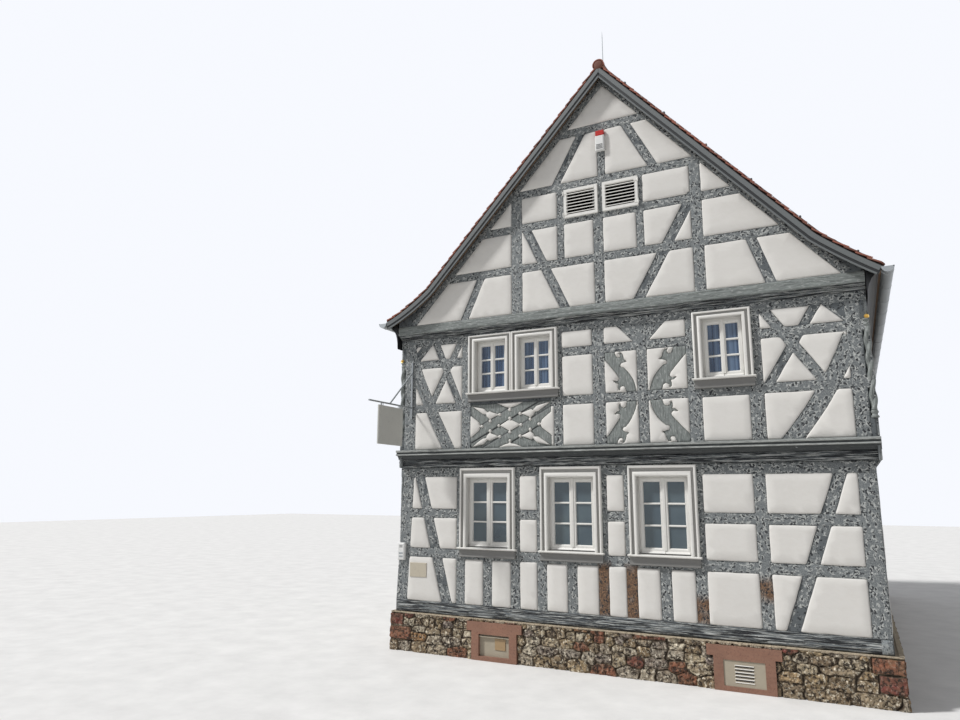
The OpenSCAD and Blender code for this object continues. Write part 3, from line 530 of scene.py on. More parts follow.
def block(build, wall, u0, u1, v0, v1, h0, h1, bevel=0.003, mat=0, tint=0.5):
    """A box on a wall from depth h0 to h1, with chamfered edges at its face."""
    stepped(build, wall, (u0, v0, u1, v1), ((0, h0), (0, h1 - bevel), (bevel, h1)), mat, tint)


def shifted(profile, h0, v0):
    """A profile whose first two values, h and v, are measured from h0 and v0."""
    return [(h0 + h, v0 + v, *rest) for h, v, *rest in profile]


def moulding_ring(build, wall, outer, inner, profile, mat=0):
    """A mitred frame between two rectangles. The closed profile is a list of (share, h) or
    (share, h, tint), with share 0 at the outer rectangle and 1 at the inner one."""
    verts = []
    tints = []
    for share, h, *tint in profile:
        u0, v0, u1, v1 = (a + (b - a) * share for a, b in zip(outer, inner))
        verts += [wall.at(u, v, h) for u, v in ((u0, v0), (u1, v0), (u1, v1), (u0, v1))]
        tints += (tint or [0.5]) * 4
    faces = grid_faces(len(profile), 4, closed=True)
    last = len(verts) - 4
    faces += [(last + c, last + (c + 1) % 4, (c + 1) % 4, c) for c in range(4)]
    build.add(verts, faces, None, mat, tints)


def circle(n):
    return [2 * math.pi * k / n for k in range(n)]


def tube(build, points, radius, sides=8, mat=0):
    """A round bar along points, closed at its ends."""
    points = [Vector(p) for p in points]
    rings = []
    side = None
    for i, p in enumerate(points):
        along = (points[min(i + 1, len(points) - 1)] - points[max(i - 1, 0)]).normalized()
        side = side or along.cross(UP if abs(along.z) < 0.9 else Vector((1, 0, 0)))
        side = (side - along * side.dot(along)).normalized()
        other = along.cross(side)
        rings.append([p + (side * math.cos(a) + other * math.sin(a)) * radius
                      for a in circle(sides)])
    loft(build, rings, None, mat)


def pin(build, wall, u, v, h, reach, radius, sides=8, mat=0):
    """An upright pin of a hinge, as far as reach over and under a point."""
    tube(build, [wall.at(u, v + d, h) for d in (-reach, reach)], radius, sides, mat)


def turned(build, foot, profile, sides=20, lobes=0, twist=0.0, depth=0.0):
    """A turned shaft over a foot point from (radius, height) pairs, with twisted lobes."""
    rings = []
    for radius, z in profile:
        reach = [radius * (1 - depth * (0.5 - 0.5 * math.cos(lobes * (a - twist * z))))
                 for a in circle(sides)]
        rings.append([Vector(foot) + Vector((r * math.cos(a), r * math.sin(a), z))
                      for r, a in zip(reach, circle(sides))])
    loft(build, rings, [(a * radius, z) for radius, z in profile for a in circle(sides)])


# Materials

def put(tree, target, value):
    """Link an input to an output, or set it to a number, a colour or a vector."""
    if isinstance(value, bpy.types.NodeSocket):
        tree.links.new(value, target)
    elif target.type == "RGBA":
        target.default_value = (*value[:3], 1)
    else:
        target.default_value = value


def add_node(tree, kind, **inputs):
    """A new shader node with some of its inputs linked or set."""
    made = tree.nodes.new("ShaderNode" + kind)
    for name, value in inputs.items():
        put(tree, made.inputs[name], value)
    return made


def maths(tree, kind, a, b):
    made = tree.nodes.new("ShaderNodeMath")
    made.operation = kind
    put(tree, made.inputs[0], a)
    put(tree, made.inputs[1], b)
    return made.outputs[0]


def shade(colour, factor):
    return [min(1.0, v * factor) for v in colour]


class Finish:
    """A material in the making, whose methods add nodes and return their outputs."""

    def __init__(self, name):
        self.material = bpy.data.materials.new(name)
        self.material.use_nodes = True
        self.tree = self.material.node_tree

    def coords(self, source="Object", stretch=(1, 1, 1), turn=(0, 0, 0)):
        where = self.tree.nodes.new("ShaderNodeTexCoord").outputs[source]
        return add_node(self.tree, "Mapping", Vector=where, Scale=stretch,
                        Rotation=turn).outputs["Vector"]

    def noise(self, scale, detail=4, rough=0.6, warp=0.0, **place):
        return add_node(self.tree, "TexNoise", Vector=self.coords(**place), Scale=scale,
                        Detail=detail, Roughness=rough, Distortion=warp).outputs["Fac"]

    def point_value(self, name):
        """The tint or the stain that the mesh gives its points."""
        made = self.tree.nodes.new("ShaderNodeAttribute")
        made.attribute_name = name
        return made.outputs["Fac"]

    def ramp(self, value, *stops):
        """A ramp of greys or colours from (position, colour) pairs."""
        made = add_node(self.tree, "ValToRGB", Fac=value)
        elements = made.color_ramp.elements
        while len(elements) < len(stops):
            elements.new(0.5)
        for element, (place, colour) in zip(elements, stops):
            element.position = place
            grey = isinstance(colour, (int, float))
            element.color = (*([colour] * 3 if grey else colour[:3]), 1)
        return made.outputs["Color"]

    def rise(self, value, low, high):
        """0 up to the low value and 1 from the high one."""
        return self.ramp(value, (low, 0.0), (high, 1.0))

    def fall(self, value, low, high):
        """1 up to the low value and 0 from the high one."""
        return self.ramp(value, (low, 1.0), (high, 0.0))

    def mix(self, factor, a, b):
        made = self.tree.nodes.new("ShaderNodeMix")
        made.data_type = "RGBA"
        for target, value in zip([i for i in made.inputs if i.enabled], (factor, a, b)):
            put(self.tree, target, value)
        return [o for o in made.outputs if o.enabled][0]

    def times(self, a, b):
        return maths(self.tree, "MULTIPLY", a, b)

    def minus(self, a, b):
        return maths(self.tree, "SUBTRACT", a, b)

    def done(self, base, roughness, *bumps, **settings):
        """Set the shader, with bumps on each other as (height, strength, depth in metres)."""
        shader = self.tree.nodes["Principled BSDF"]
        settings.update({"Base Color": base, "Roughness": roughness})
        for height, strength, depth in bumps:
            below = {"Normal": settings["Normal"]} if "Normal" in settings else {}
            settings["Normal"] = add_node(self.tree, "Bump", Height=height, Strength=strength,
                                          Distance=depth, **below).outputs["Normal"]
        for name, value in settings.items():
            put(self.tree, shader.inputs[name.replace("_", " ")], value)


def hewn_timber(f):
    """Slate grey paint on hacked oak, and rust brown where the stain is high. The short nicks
    from an adze are painted near black as their shade, and the rims beside them pale as painted
    highlights."""
    c = colours()
    hacked = {"source": "UV", "stretch": (1.15, 0.80, 1), "turn": (0, 0, 0.35)}
    cells = add_node(f.tree, "TexVoronoi", Vector=f.coords(**hacked), Scale=20.0)
    spread = f.times(f.minus(f.noise(44.0, 2, 0.5, **hacked), 0.5), 1.6)
    reach = maths(f.tree, "ADD", cells.outputs["Distance"], spread)
    # Painted shade and highlight: the nicks are painted near black and the rims round them pale
    shaded_nicks = f.fall(reach, 0.23, 0.30)
    lit_rims = f.ramp(reach, (0.33, 0.0), (0.39, 1.0), (0.58, 1.0), (0.68, 0.0))
    lit_rims = f.times(lit_rims, f.rise(f.noise(22.0, 3, **hacked), 0.48, 0.53))
    fibres = f.noise(3.0, 6, source="UV", stretch=(18, 1.6, 1))
    fine = f.noise(60.0, 4, 0.7, source="UV")
    base = f.mix(f.noise(3.2, source="UV"), shade(c.timber, 0.68), shade(c.timber, 1.20))
    smooth = f.rise(f.point_value("tint"), 0.55, 0.75)
    base = f.mix(f.times(smooth, 0.6), base, shade(c.timber, 1.9))
    marks = f.minus(0.95, f.times(smooth, 0.55))
    base = f.mix(f.times(f.rise(fine, 0.42, 0.62), 0.35), base, c.timber_worn_and_lit)
    base = f.mix(f.times(lit_rims, marks), base, c.timber_worn_and_lit)
    rust = f.mix(f.rise(fine, 0.46, 0.60), (0.045, 0.026, 0.017),
                 (0.25, 0.135, 0.068))
    rust = f.mix(f.times(lit_rims, 0.3), rust, (0.36, 0.22, 0.12))
    base = f.mix(f.rise(f.point_value("stain"), 0.0, 0.6), base, rust)
    # Painted shade: the nicks near black
    base = f.mix(f.times(shaded_nicks, marks), base, (0.010, 0.012, 0.015))
    f.done(base, 0.72, (fibres, 0.4, 0.003), (f.minus(1.0, shaded_nicks), 0.9, 0.008),
           (lit_rims, 0.5, 0.003), (fine, 0.6, 0.003))


def carved_timber(f):
    """Smoother paint on carved and planed oak. A high tint is painted light as a highlight and a
    low tint dark as shade, and a groove that the stain marks is painted dark as its shade."""
    c = colours()
    dark = (0.012, 0.014, 0.017)
    streaks = f.noise(1.6, 5, 0.65, 0.4, source="UV", stretch=(46, 3.4, 1), turn=(0, 0, 0.10))
    cross = f.noise(1.6, 4, 0.6, 0.3, source="UV", stretch=(34, 9, 1), turn=(0, 0, 0.75))
    tint = f.point_value("tint")
    middle = [v * k for v, k in zip(c.timber, (2.0, 1.95, 1.75))]
    # Painted light and shade: the tint runs from shaded dark through the plain middle to lit pale
    lit_and_shaded_tone = f.ramp(tint, (0.0, shade(c.timber, 0.22)), (0.5, middle), (1.0, c.timber_worn_and_lit))
    base = f.mix(f.rise(streaks, 0.38, 0.56), f.mix(0.50, lit_and_shaded_tone, dark), lit_and_shaded_tone)
    # Painted highlight: pale cross streaks, stronger where the tint is high
    light = f.times(f.rise(cross, 0.54, 0.64), f.times(tint, 0.9))
    base = f.mix(light, base, c.timber_worn_and_lit)
    # Painted shade in the grooves that the stain marks
    base = f.mix(f.point_value("stain"), base, dark)
    f.done(base, 0.66, (streaks, 0.5, 0.004), (cross, 0.5, 0.003))


def lime_plaster(f):
    """Warm off-white trowelled plaster."""
    c = colours()
    trowel = f.noise(9.0, 3, 0.5, 0.8, stretch=(1, 1, 1.8), turn=(0.2, 0.7, 0.3))
    base = f.mix(f.noise(1.4, 3, 0.5), shade(c.plaster, 0.94), shade(c.plaster, 1.05))
    base = f.mix(f.times(f.fall(trowel, 0.35, 0.6), 0.10), base,
                 (0.50, 0.47, 0.42))
    f.done(base, 0.88, (trowel, 0.35, 0.004), (f.noise(160.0, 4, 0.65), 0.35, 0.0012))


def plain_finish(f, colour, roughness, scale, depth):
    """A finish with a little unevenness in its colour and surface."""
    base = f.mix(f.noise(scale, 5), shade(colour, 0.82), shade(colour, 1.15))
    f.done(base, roughness, (f.noise(scale * 8), 0.4, depth))


def hewn_timber_plain(f):
    """The same paint on the parts of the frame between the hewn faces, with nicks painted near
    black as their shade.
    """
    c = colours()
    shaded_nicks = f.noise(30.0, 2, 0.5, 0.6)
    base = f.mix(f.noise(3.0), shade(c.timber, 0.65), shade(c.timber, 1.1))
    # Painted shade: patches near black as the shade in nicks
    base = f.mix(f.rise(shaded_nicks, 0.36, 0.44), (0.012, 0.014, 0.016), base)
    f.done(base, 0.75, (shaded_nicks, 0.6, 0.006))


def weathered_beam(f):
    """Grey oak with pale worn strands along the grain, and deep furrows painted near black as
    their shade.
    """
    c = colours()
    furrows = f.noise(2.0, 5, 0.62, 0.5, source="UV", stretch=(34, 1.0, 1))
    strands = f.noise(1.8, 6, 0.70, 0.7, source="UV", stretch=(40, 2.0, 1), turn=(0, 0, 0.02))
    broad = f.noise(2.0, source="UV", stretch=(5, 0.9, 1))
    base = f.mix(broad, shade(c.timber, 0.55), shade(c.timber, 1.5))
    base = f.mix(f.times(f.rise(strands, 0.49, 0.56), 0.92), base, c.timber_worn_and_lit)
    deep_shade = f.rise(furrows, 0.45, 0.49)
    # Painted shade: the furrows near black
    base = f.mix(deep_shade, (0.010, 0.011, 0.013), base)
    f.done(base, 0.82, (deep_shade, 0.9, 0.010), (strands, 0.8, 0.008))


def fired_tile(f):
    """Old plain tiles, each with its own shade of red brown, with soot and lichen."""
    c = colours()
    fine = f.noise(55.0, 5, 0.65)
    base = f.ramp(f.point_value("tint"), (0.0, shade(c.tile, 0.48)), (0.35, c.tile),
                  (0.75, shade(c.tile, 1.75)), (1.0, (0.16, 0.075, 0.055)))
    base = f.mix(f.times(f.noise(1.1), 0.55), base, (0.060, 0.042, 0.036))
    base = f.mix(f.times(fine, 0.45), base, (0.30, 0.13, 0.085))
    lichen = f.times(f.rise(f.noise(9.0), 0.60, 0.70), 0.40)
    f.done(f.mix(lichen, base, (0.22, 0.21, 0.16)), 0.84, (fine, 0.5, 0.0022))


def board_finish(f, colour, roughness, pitch):
    """Wood in boards of one width that run along the house."""
    fibres = f.noise(40.0, 5, stretch=(1, 0.06, 1))
    broad = f.noise(1.0, 2, 0.5, stretch=(1 / pitch, 0.3, 1))
    base = f.mix(broad, shade(colour, 0.70), shade(colour, 1.30))
    base = f.mix(f.times(fibres, 0.5), base, shade(colour, 0.4))
    wave = add_node(f.tree, "TexWave", Vector=f.coords(), Scale=0.314 / pitch)
    joint = f.rise(wave.outputs["Fac"], 0.0, 0.015)
    base = f.mix(joint, (0.02, 0.017, 0.013), base)
    f.done(base, roughness, (joint, 0.6, 0.003), (fibres, 0.4, 0.0015))


def old_mortar(f):
    """Sandy lime mortar, darker where it lies deep."""
    sand = f.noise(150.0, 4, 0.7)
    broad = f.noise(7.0)
    base = f.mix(broad, (0.22, 0.17, 0.115), (0.42, 0.35, 0.26))
    base = f.mix(f.times(sand, 0.35), base, (0.12, 0.09, 0.06))
    f.done(base, 0.95, (broad, 0.8, 0.012), (sand, 0.6, 0.002))


def rubble_stone(f):
    """Field stones by their own tint, from deep red over ochre and cream to a purple grey, with
    dark pits painted as shade, pale chips painted as highlights and the deep joints painted from
    dark mortar to near black as shade. The stain is 1 on stones, 0 in the deep joints and -1 on
    the pale mortar bed."""
    shaded_pits = f.noise(21.0, 5, 0.7, 0.6)
    chips = f.noise(24.0, 4, 0.65, 0.3)
    grains = f.noise(210.0, 3, 0.7)
    broad = f.noise(9.0, 5, 0.65)
    tint = f.point_value("tint")
    stain = f.point_value("stain")
    base = f.ramp(tint, (0.0, (0.185, 0.050, 0.038)), (0.05, (0.20, 0.060, 0.045)),
                  (0.08, (0.27, 0.105, 0.060)), (0.12, (0.30, 0.125, 0.070)),
                  (0.16, (0.44, 0.250, 0.110)), (0.30, (0.42, 0.320, 0.190)),
                  (0.45, (0.25, 0.185, 0.120)), (0.60, (0.52, 0.430, 0.290)),
                  (0.75, (0.31, 0.265, 0.215)), (0.88, (0.66, 0.580, 0.430)),
                  (1.0, (0.240, 0.195, 0.180)))
    base = f.mix(f.ramp(broad, (0.35, 0.65), (0.60, 0.0)), base, (0.16, 0.105, 0.060))
    # Painted highlights: pale chips on the lighter stones
    pale_highlights = f.times(f.rise(chips, 0.54, 0.60),
                   f.ramp(tint, (0.12, 0.12), (0.16, 0.75)))
    base = f.mix(pale_highlights, base, (0.88, 0.80, 0.64))
    # Painted shade: the pits near black
    base = f.mix(f.ramp(shaded_pits, (0.43, 0.95), (0.49, 0.0)), base, (0.030, 0.020, 0.014))
    # Painted shade: the deep joints from dark mortar to near black
    deep_shade = f.mix(broad, (0.010, 0.007, 0.005), (0.190, 0.140, 0.092))
    lime = f.mix(grains, (0.34, 0.27, 0.18), (0.66, 0.56, 0.42))
    lime = f.mix(f.times(stain, -1.0), deep_shade, lime)
    base = f.mix(f.rise(stain, 0.15, 0.85), lime, base)
    f.done(base, 0.92, (f.rise(shaded_pits, 0.36, 0.55), 1.0, 0.012),
           (chips, 0.8, 0.008), (grains, 0.5, 0.0015))


def red_sandstone(f):
    """Dressed red sandstone with pecked marks and pale streaks along its bedding."""
    c = colours()
    pecks = f.noise(70.0, 4, 0.6, 0.4)
    broad = f.noise(3.5, 5)
    beds = f.noise(5.0, stretch=(1, 1, 7), turn=(0.05, 0.1, 0))
    base = f.mix(broad, shade(c.sandstone, 0.62), shade(c.sandstone, 1.40))
    base = f.mix(f.times(beds, 0.45), base, (0.30, 0.20, 0.15))
    base = f.mix(f.ramp(pecks, (0.34, 0.7), (0.46, 0.0)), base, (0.13, 0.065, 0.05))
    f.done(base, 0.90, (pecks, 0.6, 0.004), (broad, 0.5, 0.006))


def oil_paint(f, colour, scale=26.0):
    """Brushed oil paint with soft brush marks and patches of dirt. Where the tint is low the
    paint is
    darkened: painted shade in the casings' hollows and reveals, on the aprons and on the barge
    boards and cornices, which have no tint, and a darker tone on three door boards.
    """
    base = f.mix(f.noise(2.2), shade(colour, 0.93), shade(colour, 1.04))
    dirt = f.times(f.fall(f.noise(scale, 5, 0.7), 0.28, 0.42), 0.45)
    base = f.mix(dirt, base, shade(colour, 0.55))
    # Painted shade where the tint is low; parts without a tint read as 0 and are darkened in full
    shade_and_tone = f.fall(f.point_value("tint"), 0.0, 0.45)
    base = f.mix(shade_and_tone, base, shade(colour, 0.13))
    f.done(base, 0.42, (f.noise(scale * 3, 3, stretch=(1, 1, 0.16)), 0.25, 0.0008))


def weathered_zinc(f):
    """Dull zinc sheet with a cloudy patina."""
    clouds = f.noise(7.0, 5, 0.65)
    spots = f.noise(60.0)
    base = f.mix(clouds, (0.27, 0.29, 0.30), (0.42, 0.44, 0.45))
    base = f.mix(f.times(spots, 0.3), base, (0.22, 0.23, 0.23))
    f.done(base, f.ramp(clouds, (0.3, 0.42), (0.7, 0.62)), (spots, 0.3, 0.0008), Metallic=0.75)


def window_glass(f):
    """Old drawn glass, slightly wavy, whose blue grey colour paints the sky's reflection and the
    dark room behind it. Upstairs a blind shows through it, its folds painted as stripes of light
    and shade.
    """
    # Painted reflection and shade: the sky's reflection and the dark room behind
    base = f.mix(f.noise(2.2, 3, 0.5), (0.040, 0.066, 0.095), (0.125, 0.165, 0.175))
    folds = f.noise(1.0, 2, 0.5, stretch=(30, 30, 0.4))
    # Painted light and shade on the blind's folds
    blind = f.mix(f.rise(folds, 0.38, 0.62), (0.012, 0.038, 0.095),
                  (0.115, 0.175, 0.27))
    level = add_node(f.tree, "SeparateXYZ", Vector=f.coords()).outputs["Z"]
    base = f.mix(maths(f.tree, "GREATER_THAN", level, UPPER_SILL), base, blind)
    f.done(base, 0.06, (f.noise(5.0, 2, 0.5), 0.25, 0.004), IOR=1.52, Alpha=0.82,
           Coat_Weight=0.25, Coat_Roughness=0.03)


def gilding(f):
    """Gold leaf on a primed ground."""
    worn = f.noise(90.0)
    base = f.mix(f.rise(worn, 0.32, 0.42), (0.30, 0.17, 0.06),
                 (0.78, 0.53, 0.16))
    f.done(base, 0.34, (worn, 0.3, 0.0008), Metallic=0.85)


OWN_FINISHES = (hewn_timber, carved_timber, lime_plaster, hewn_timber_plain, weathered_beam,
                fired_tile, old_mortar, rubble_stone, red_sandstone, weathered_zinc,
                window_glass, gilding)

# A colour given by name is one that the user can change
LIKE_FINISHES = {
    "old_boards": (board_finish, (0.20, 0.13, 0.08), 0.8, 0.16),
    "floor_boards": (board_finish, (0.26, 0.16, 0.09), 0.55, 0.18),
    "white_oil_paint": (oil_paint, "paint"),
    "ochre_paint": (oil_paint, (0.34, 0.23, 0.12)),
    # A very dark grey that paints the shade on the faces of the barge boards and on the cornices
    "grey_board_paint": (oil_paint, (0.050, 0.055, 0.060)),
    "verge_paint": (oil_paint, (0.122, 0.131, 0.131)),
    "door_paint": (oil_paint, (0.115, 0.130, 0.135)),
    "sign_board_paint": (oil_paint, (0.47, 0.465, 0.43), 12.0),
    "beige_plate": (oil_paint, (0.47, 0.42, 0.33), 14.0),
    "grey_render": (plain_finish, (0.37, 0.325, 0.25), 0.9, 6.0, 0.0015),
    "white_plastic": (plain_finish, (0.70, 0.70, 0.68), 0.45, 4.0, 0.0003),
    "dark_plastic": (plain_finish, (0.03, 0.03, 0.032), 0.5, 8.0, 0.0003),
    "red_lens": (plain_finish, (0.55, 0.030, 0.022), 0.22, 6.0, 0.0002),
    "pale_floor": (plain_finish, (0.74, 0.73, 0.71), 0.9, 2.0, 0.0005),
}
FINISHES = {maker.__name__: (maker,) for maker in OWN_FINISHES} | LIKE_FINISHES
MADE = {}


def material_of(name):
    """Each material is made once and shared."""
    if name not in MADE:
        maker, *values = FINISHES[name]
        MADE[name] = Finish(name)
        maker(MADE[name], *(getattr(colours(), v) if isinstance(v, str) else v
                            for v in values))
    return MADE[name].material


# Roof

def slope_profile(node, side):
    """The line of a roof slope's top from the eave to the ridge, as (x, z)."""
    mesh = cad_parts[node].data
    found = set()
    for poly in mesh.polygons:
        if abs(poly.normal.y) < 0.01 and poly.normal.z > 0.2 and poly.normal.x * side > 0:
            for i in poly.vertices:
                co = mesh.vertices[i].co
                found.add((round(co.x, 4), round(co.z, 4)))
    return sorted(found, key=lambda p: -side * p[0])


SLOPES = {-1: slope_profile("roof_left", -1), 1: slope_profile("roof_right", 1)}
RIDGE = SLOPES[-1][-1]
PITCH = {side: math.atan2(line[-1][1] - line[-2][1], abs(line[-1][0] - line[-2][0]))
         for side, line in SLOPES.items()}
VERGE_FRONT, VERGE_REAR = (corner.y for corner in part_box("roof_left"))


class Slope:
    """Places points by their run up the slope from the eave and their height over it."""

    def __init__(self, side):
        self.side = side
        self.line = SLOPES[side]
        self.runs = [0.0]
        for a, b in zip(self.line, self.line[1:]):
            self.runs.append(self.runs[-1] + math.dist(a, b))
        self.length = self.runs[-1]

    def at(self, run, height, y):
        i = 0
        while i < len(self.line) - 2 and run > self.runs[i + 1]:
            i += 1
        (x0, z0), (x1, z1) = self.line[i], self.line[i + 1]
        along = Vector((x1 - x0, 0, z1 - z0)).normalized()
        normal = Vector((-along.z * -self.side, 0, along.x * -self.side))
        p = Vector((x0, 0, z0)) + along * (run - self.runs[i]) + normal * height
        return Vector((p.x, y, p.z))


TILE_T = 0.018
TILE_GAP = 0.003
TILE_DROP = 0.038
TILE_LAP = 0.055
BASE_DEPTH = 0.045

# Shares of a tile's width, with how far its rounded lower end is cut back there
TILE_TIPS = ((0.0, 0.048), (0.12, 0.026), (0.31, 0.007), (0.5, 0.0), (0.69, 0.007),
             (0.88, 0.026), (1.0, 0.048))


def roof_tile(build, slope, run, y0, y1, rng):
    """One plain tile with a rounded lower end, resting on the course below."""
    width = y1 - y0
    lift = rng.uniform(-0.0015, 0.0025)
    slip = rng.uniform(-0.003, 0.003)
    skew = rng.uniform(-0.002, 0.002)
    length = sizes().tile_gauge + TILE_LAP
    outline = [(y0 + width * a, run + slip + tip) for a, tip in TILE_TIPS]
    outline += [(y1, run + length), (y0, run + length)]
    top = []
    bottom = []
    for y, r in outline:
        y = min(max(y, VERGE_FRONT), VERGE_REAR)
        fall = TILE_DROP * (r - run) / length
        h = lift - fall * 0.62 + skew * (y - y0) / width
        top.append(slope.at(min(r, slope.length), h, y))
        bottom.append(slope.at(min(r, slope.length), h - TILE_T, y))
    n = len(outline)
    faces = [range(n), range(2 * n - 1, n - 1, -1)]
    faces += [(i, n + i, n + (i + 1) % n, (i + 1) % n) for i in range(n)]
    build.add(top + bottom, [face[::-slope.side] for face in faces], None, 0, rng.random())


def tiled_slope(name, side, node):
    """A roof slope of plain tiles on a closed bed with a board finish."""
    s = sizes()
    slope = Slope(side)
    rng = random.Random(31 + side)
    build = Builder()
    span = VERGE_REAR - VERGE_FRONT
    pitch = span / round(span / s.tile_w)
    for k in range(int((slope.length - 0.02) / s.tile_gauge) + 1):
        shift = -pitch / 2 if k % 2 else 0.0
        for c in range(int(span / s.tile_w) + 2):
            y0 = VERGE_FRONT + shift + c * pitch + TILE_GAP / 2
            y1 = y0 + pitch - TILE_GAP
            if y1 >= VERGE_FRONT + 0.02 and y0 <= VERGE_REAR - 0.02:
                roof_tile(build, slope, k * s.tile_gauge, y0, y1, rng)
    upper, lower = ([slope.at(r, -depth, 0) for r in slope.runs]
                    for depth in (BASE_DEPTH, ROOF_T))
    loft(build, [[Vector((p.x, y, p.z)) for p in upper + lower[::-1]]
                 for y in (VERGE_FRONT + 0.035, VERGE_REAR - 0.035)], None, 1)
    build.make(name, "fired_tile old_boards", "tiles", node, angle=30)


RIDGE_TILE_L = 0.345
RIDGE_LAP = 0.035
RIDGE_TILE_T = 0.014
RIDGE_ARC = [math.radians(104) * (k / 7 - 1) for k in range(15)]


def round_ridge(centre, radius, y, angles):
    """Points about the ridge's middle line, by their angle from the top."""
    return [Vector((centre[0] + radius * math.sin(a), y, centre[1] + radius * math.cos(a)))
            for a in angles]


def ridge_tile(build, centre, radius, y0, y1, tint):
    """A half round ridge tile with a thicker lip at its lower end."""
    rings = []
    for y, extra in ((y0, 0.010), (y0 + 0.045, 0.010), (y0 + 0.055, 0.003), (y1, -0.003)):
        outer, inner = (round_ridge(centre, radius + extra - depth, y, RIDGE_ARC)
                        for depth in (0, RIDGE_TILE_T))
        rings.append(outer + inner[::-1])
    loft(build, rings, None, 0, tint)


class HOUSE_OT_roof(bpy.types.Operator):
    """Tile both slopes and the ridge."""

    bl_idname = "house.roof"
    bl_label = "Roof"

    def execute(self, context):
        tiled_slope("tiles_left", -1, "roof_left")
        tiled_slope("tiles_right", 1, "roof_right")
        low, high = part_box("ridge_tiles")
        radius = (high.x - low.x) / 2 - 0.008
        centre = (RIDGE[0], high.z - radius - 0.010)
        rng = random.Random(5)
        build = Builder()
        count = round((VERGE_REAR - VERGE_FRONT) / RIDGE_TILE_L)
        step = (VERGE_REAR - VERGE_FRONT) / count
        for i in range(count):
            y0 = VERGE_FRONT - 0.012 + i * step
            wobble = (centre[0] + rng.uniform(-0.003, 0.003), centre[1] + rng.uniform(-0.003, 0))
            ridge_tile(build, wobble, radius, y0, min(y0 + step + RIDGE_LAP, VERGE_REAR + 0.015),
                       rng.random())
        for y, side in ((VERGE_FRONT, -1), (VERGE_REAR, 1)):
            plug = ((1.0, -0.03), (1.0, 0.0), (0.8, 0.012), (0.4, 0.018))
            loft(build, [round_ridge(centre, share * (radius - 0.008), y + side * out, circle(20))
                         for share, out in plug], None, 0, 0.0)
        for side in (-1, 1):
            mortar_bed(build, side, centre, radius)
        build.make("ridge", "fired_tile old_mortar", "tiles", "ridge_tiles", angle=40)
        return {"FINISHED"}


def mortar_bed(build, side, centre, radius):
    """The uneven fillet of mortar under one edge of the ridge tiles."""
    steps = 150
    rings = []
    for i in range(steps + 1):
        y = VERGE_FRONT + 0.02 + (VERGE_REAR - VERGE_FRONT - 0.04) * i / steps
        ring = []
        for k, (across, down) in enumerate(((0.60, -0.10), (1.02, -0.30), (1.08, -0.52),
                                            (0.70, -0.60))):
            push = 0.006 * ripple(y, k, 0.09, 3.0 + side) * (k in (1, 2))
            ring.append(Vector((centre[0] + side * (across * radius + push), y,
                                centre[1] + down * radius + push)))
        rings.append(ring[::side])
    loft(build, rings, None, 1)


class HOUSE_OT_eaves(bpy.types.Operator):
    """Finish the barge boards, the cornices and the gutters with their hooks."""

    bl_idname = "house.eaves"
    bl_label = "Eaves"

    def execute(self, context):
        # Painted shade: the barge boards and cornices have no tint, so their dark paint is
        # darkened in full
        paint_node("barge_boards", "grey_board_paint")
        paint_node("eaves_cornices", "grey_board_paint")
        paint_node("gutters", "weathered_zinc")
        verge_mouldings()
        build = Builder()
        for low, high in solid_boxes("gutters"):
            gutter_fittings(build, low, high)
        build.make("gutter_fittings", "weathered_zinc", "zinc")
        return {"FINISHED"}


def verge_mouldings():
    """Two planed strips along the face of each barge board, mitred under the ridge."""
    build = Builder()
    steps = 40
    start = 0.012
    for side, pitch in PITCH.items():
        slope = Slope(side)
        for corner, out in zip(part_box("barge_boards"), (-1, 1)):
            for top, bottom, proud in ((0.058, 0.120, 0.011), (0.152, 0.176, 0.007)):
                ring = ((top, -0.004), (top, proud - 0.003), (top + 0.004, proud),
                        (bottom - 0.004, proud), (bottom, proud - 0.003), (bottom, -0.004))
                ends = [slope.length - depth * math.tan(pitch) - 0.003 for depth, _ in ring]
                loft(build, [[slope.at(start + (end - start) * i / steps, -depth,
                                       corner.y + out * h) for end, (depth, h) in zip(ends, ring)]
                             for i in range(steps + 1)])
    build.make("verge_mouldings", "verge_paint", "grey_boards")


def gutter_fittings(build, low, high):
    """Rolled front edge, hooks and seams of one gutter, inside its outer faces."""
    x = (low.x + high.x) / 2
    radius = (high.x - low.x) / 2
    rim = x + (-1 if x < 0 else 1) * (radius - 0.008)
    length = high.y - low.y
    tube(build, [(rim, low.y + length * i / 24, high.z - 0.004) for i in range(25)], 0.008)
    hooks = round(length / 0.75)
    bands = [(0.12 + (length - 0.24) * i / hooks, 0.006, 6) for i in range(hooks + 1)]
    bands += [(length * i / 5, 0.004, 5) for i in range(1, 5)]
    for along, thick, sides in bands:
        reach = radius - thick
        points = []
        for a in [math.radians(v) for v in range(-88, 89, 16)]:
            across = min(max(radius * math.sin(a), -reach), reach)
            points.append((x + across, low.y + along, high.z - radius * math.cos(a)))
        tube(build, points, thick, sides)


# Plaster panels

PLASTER_LOW = -0.012


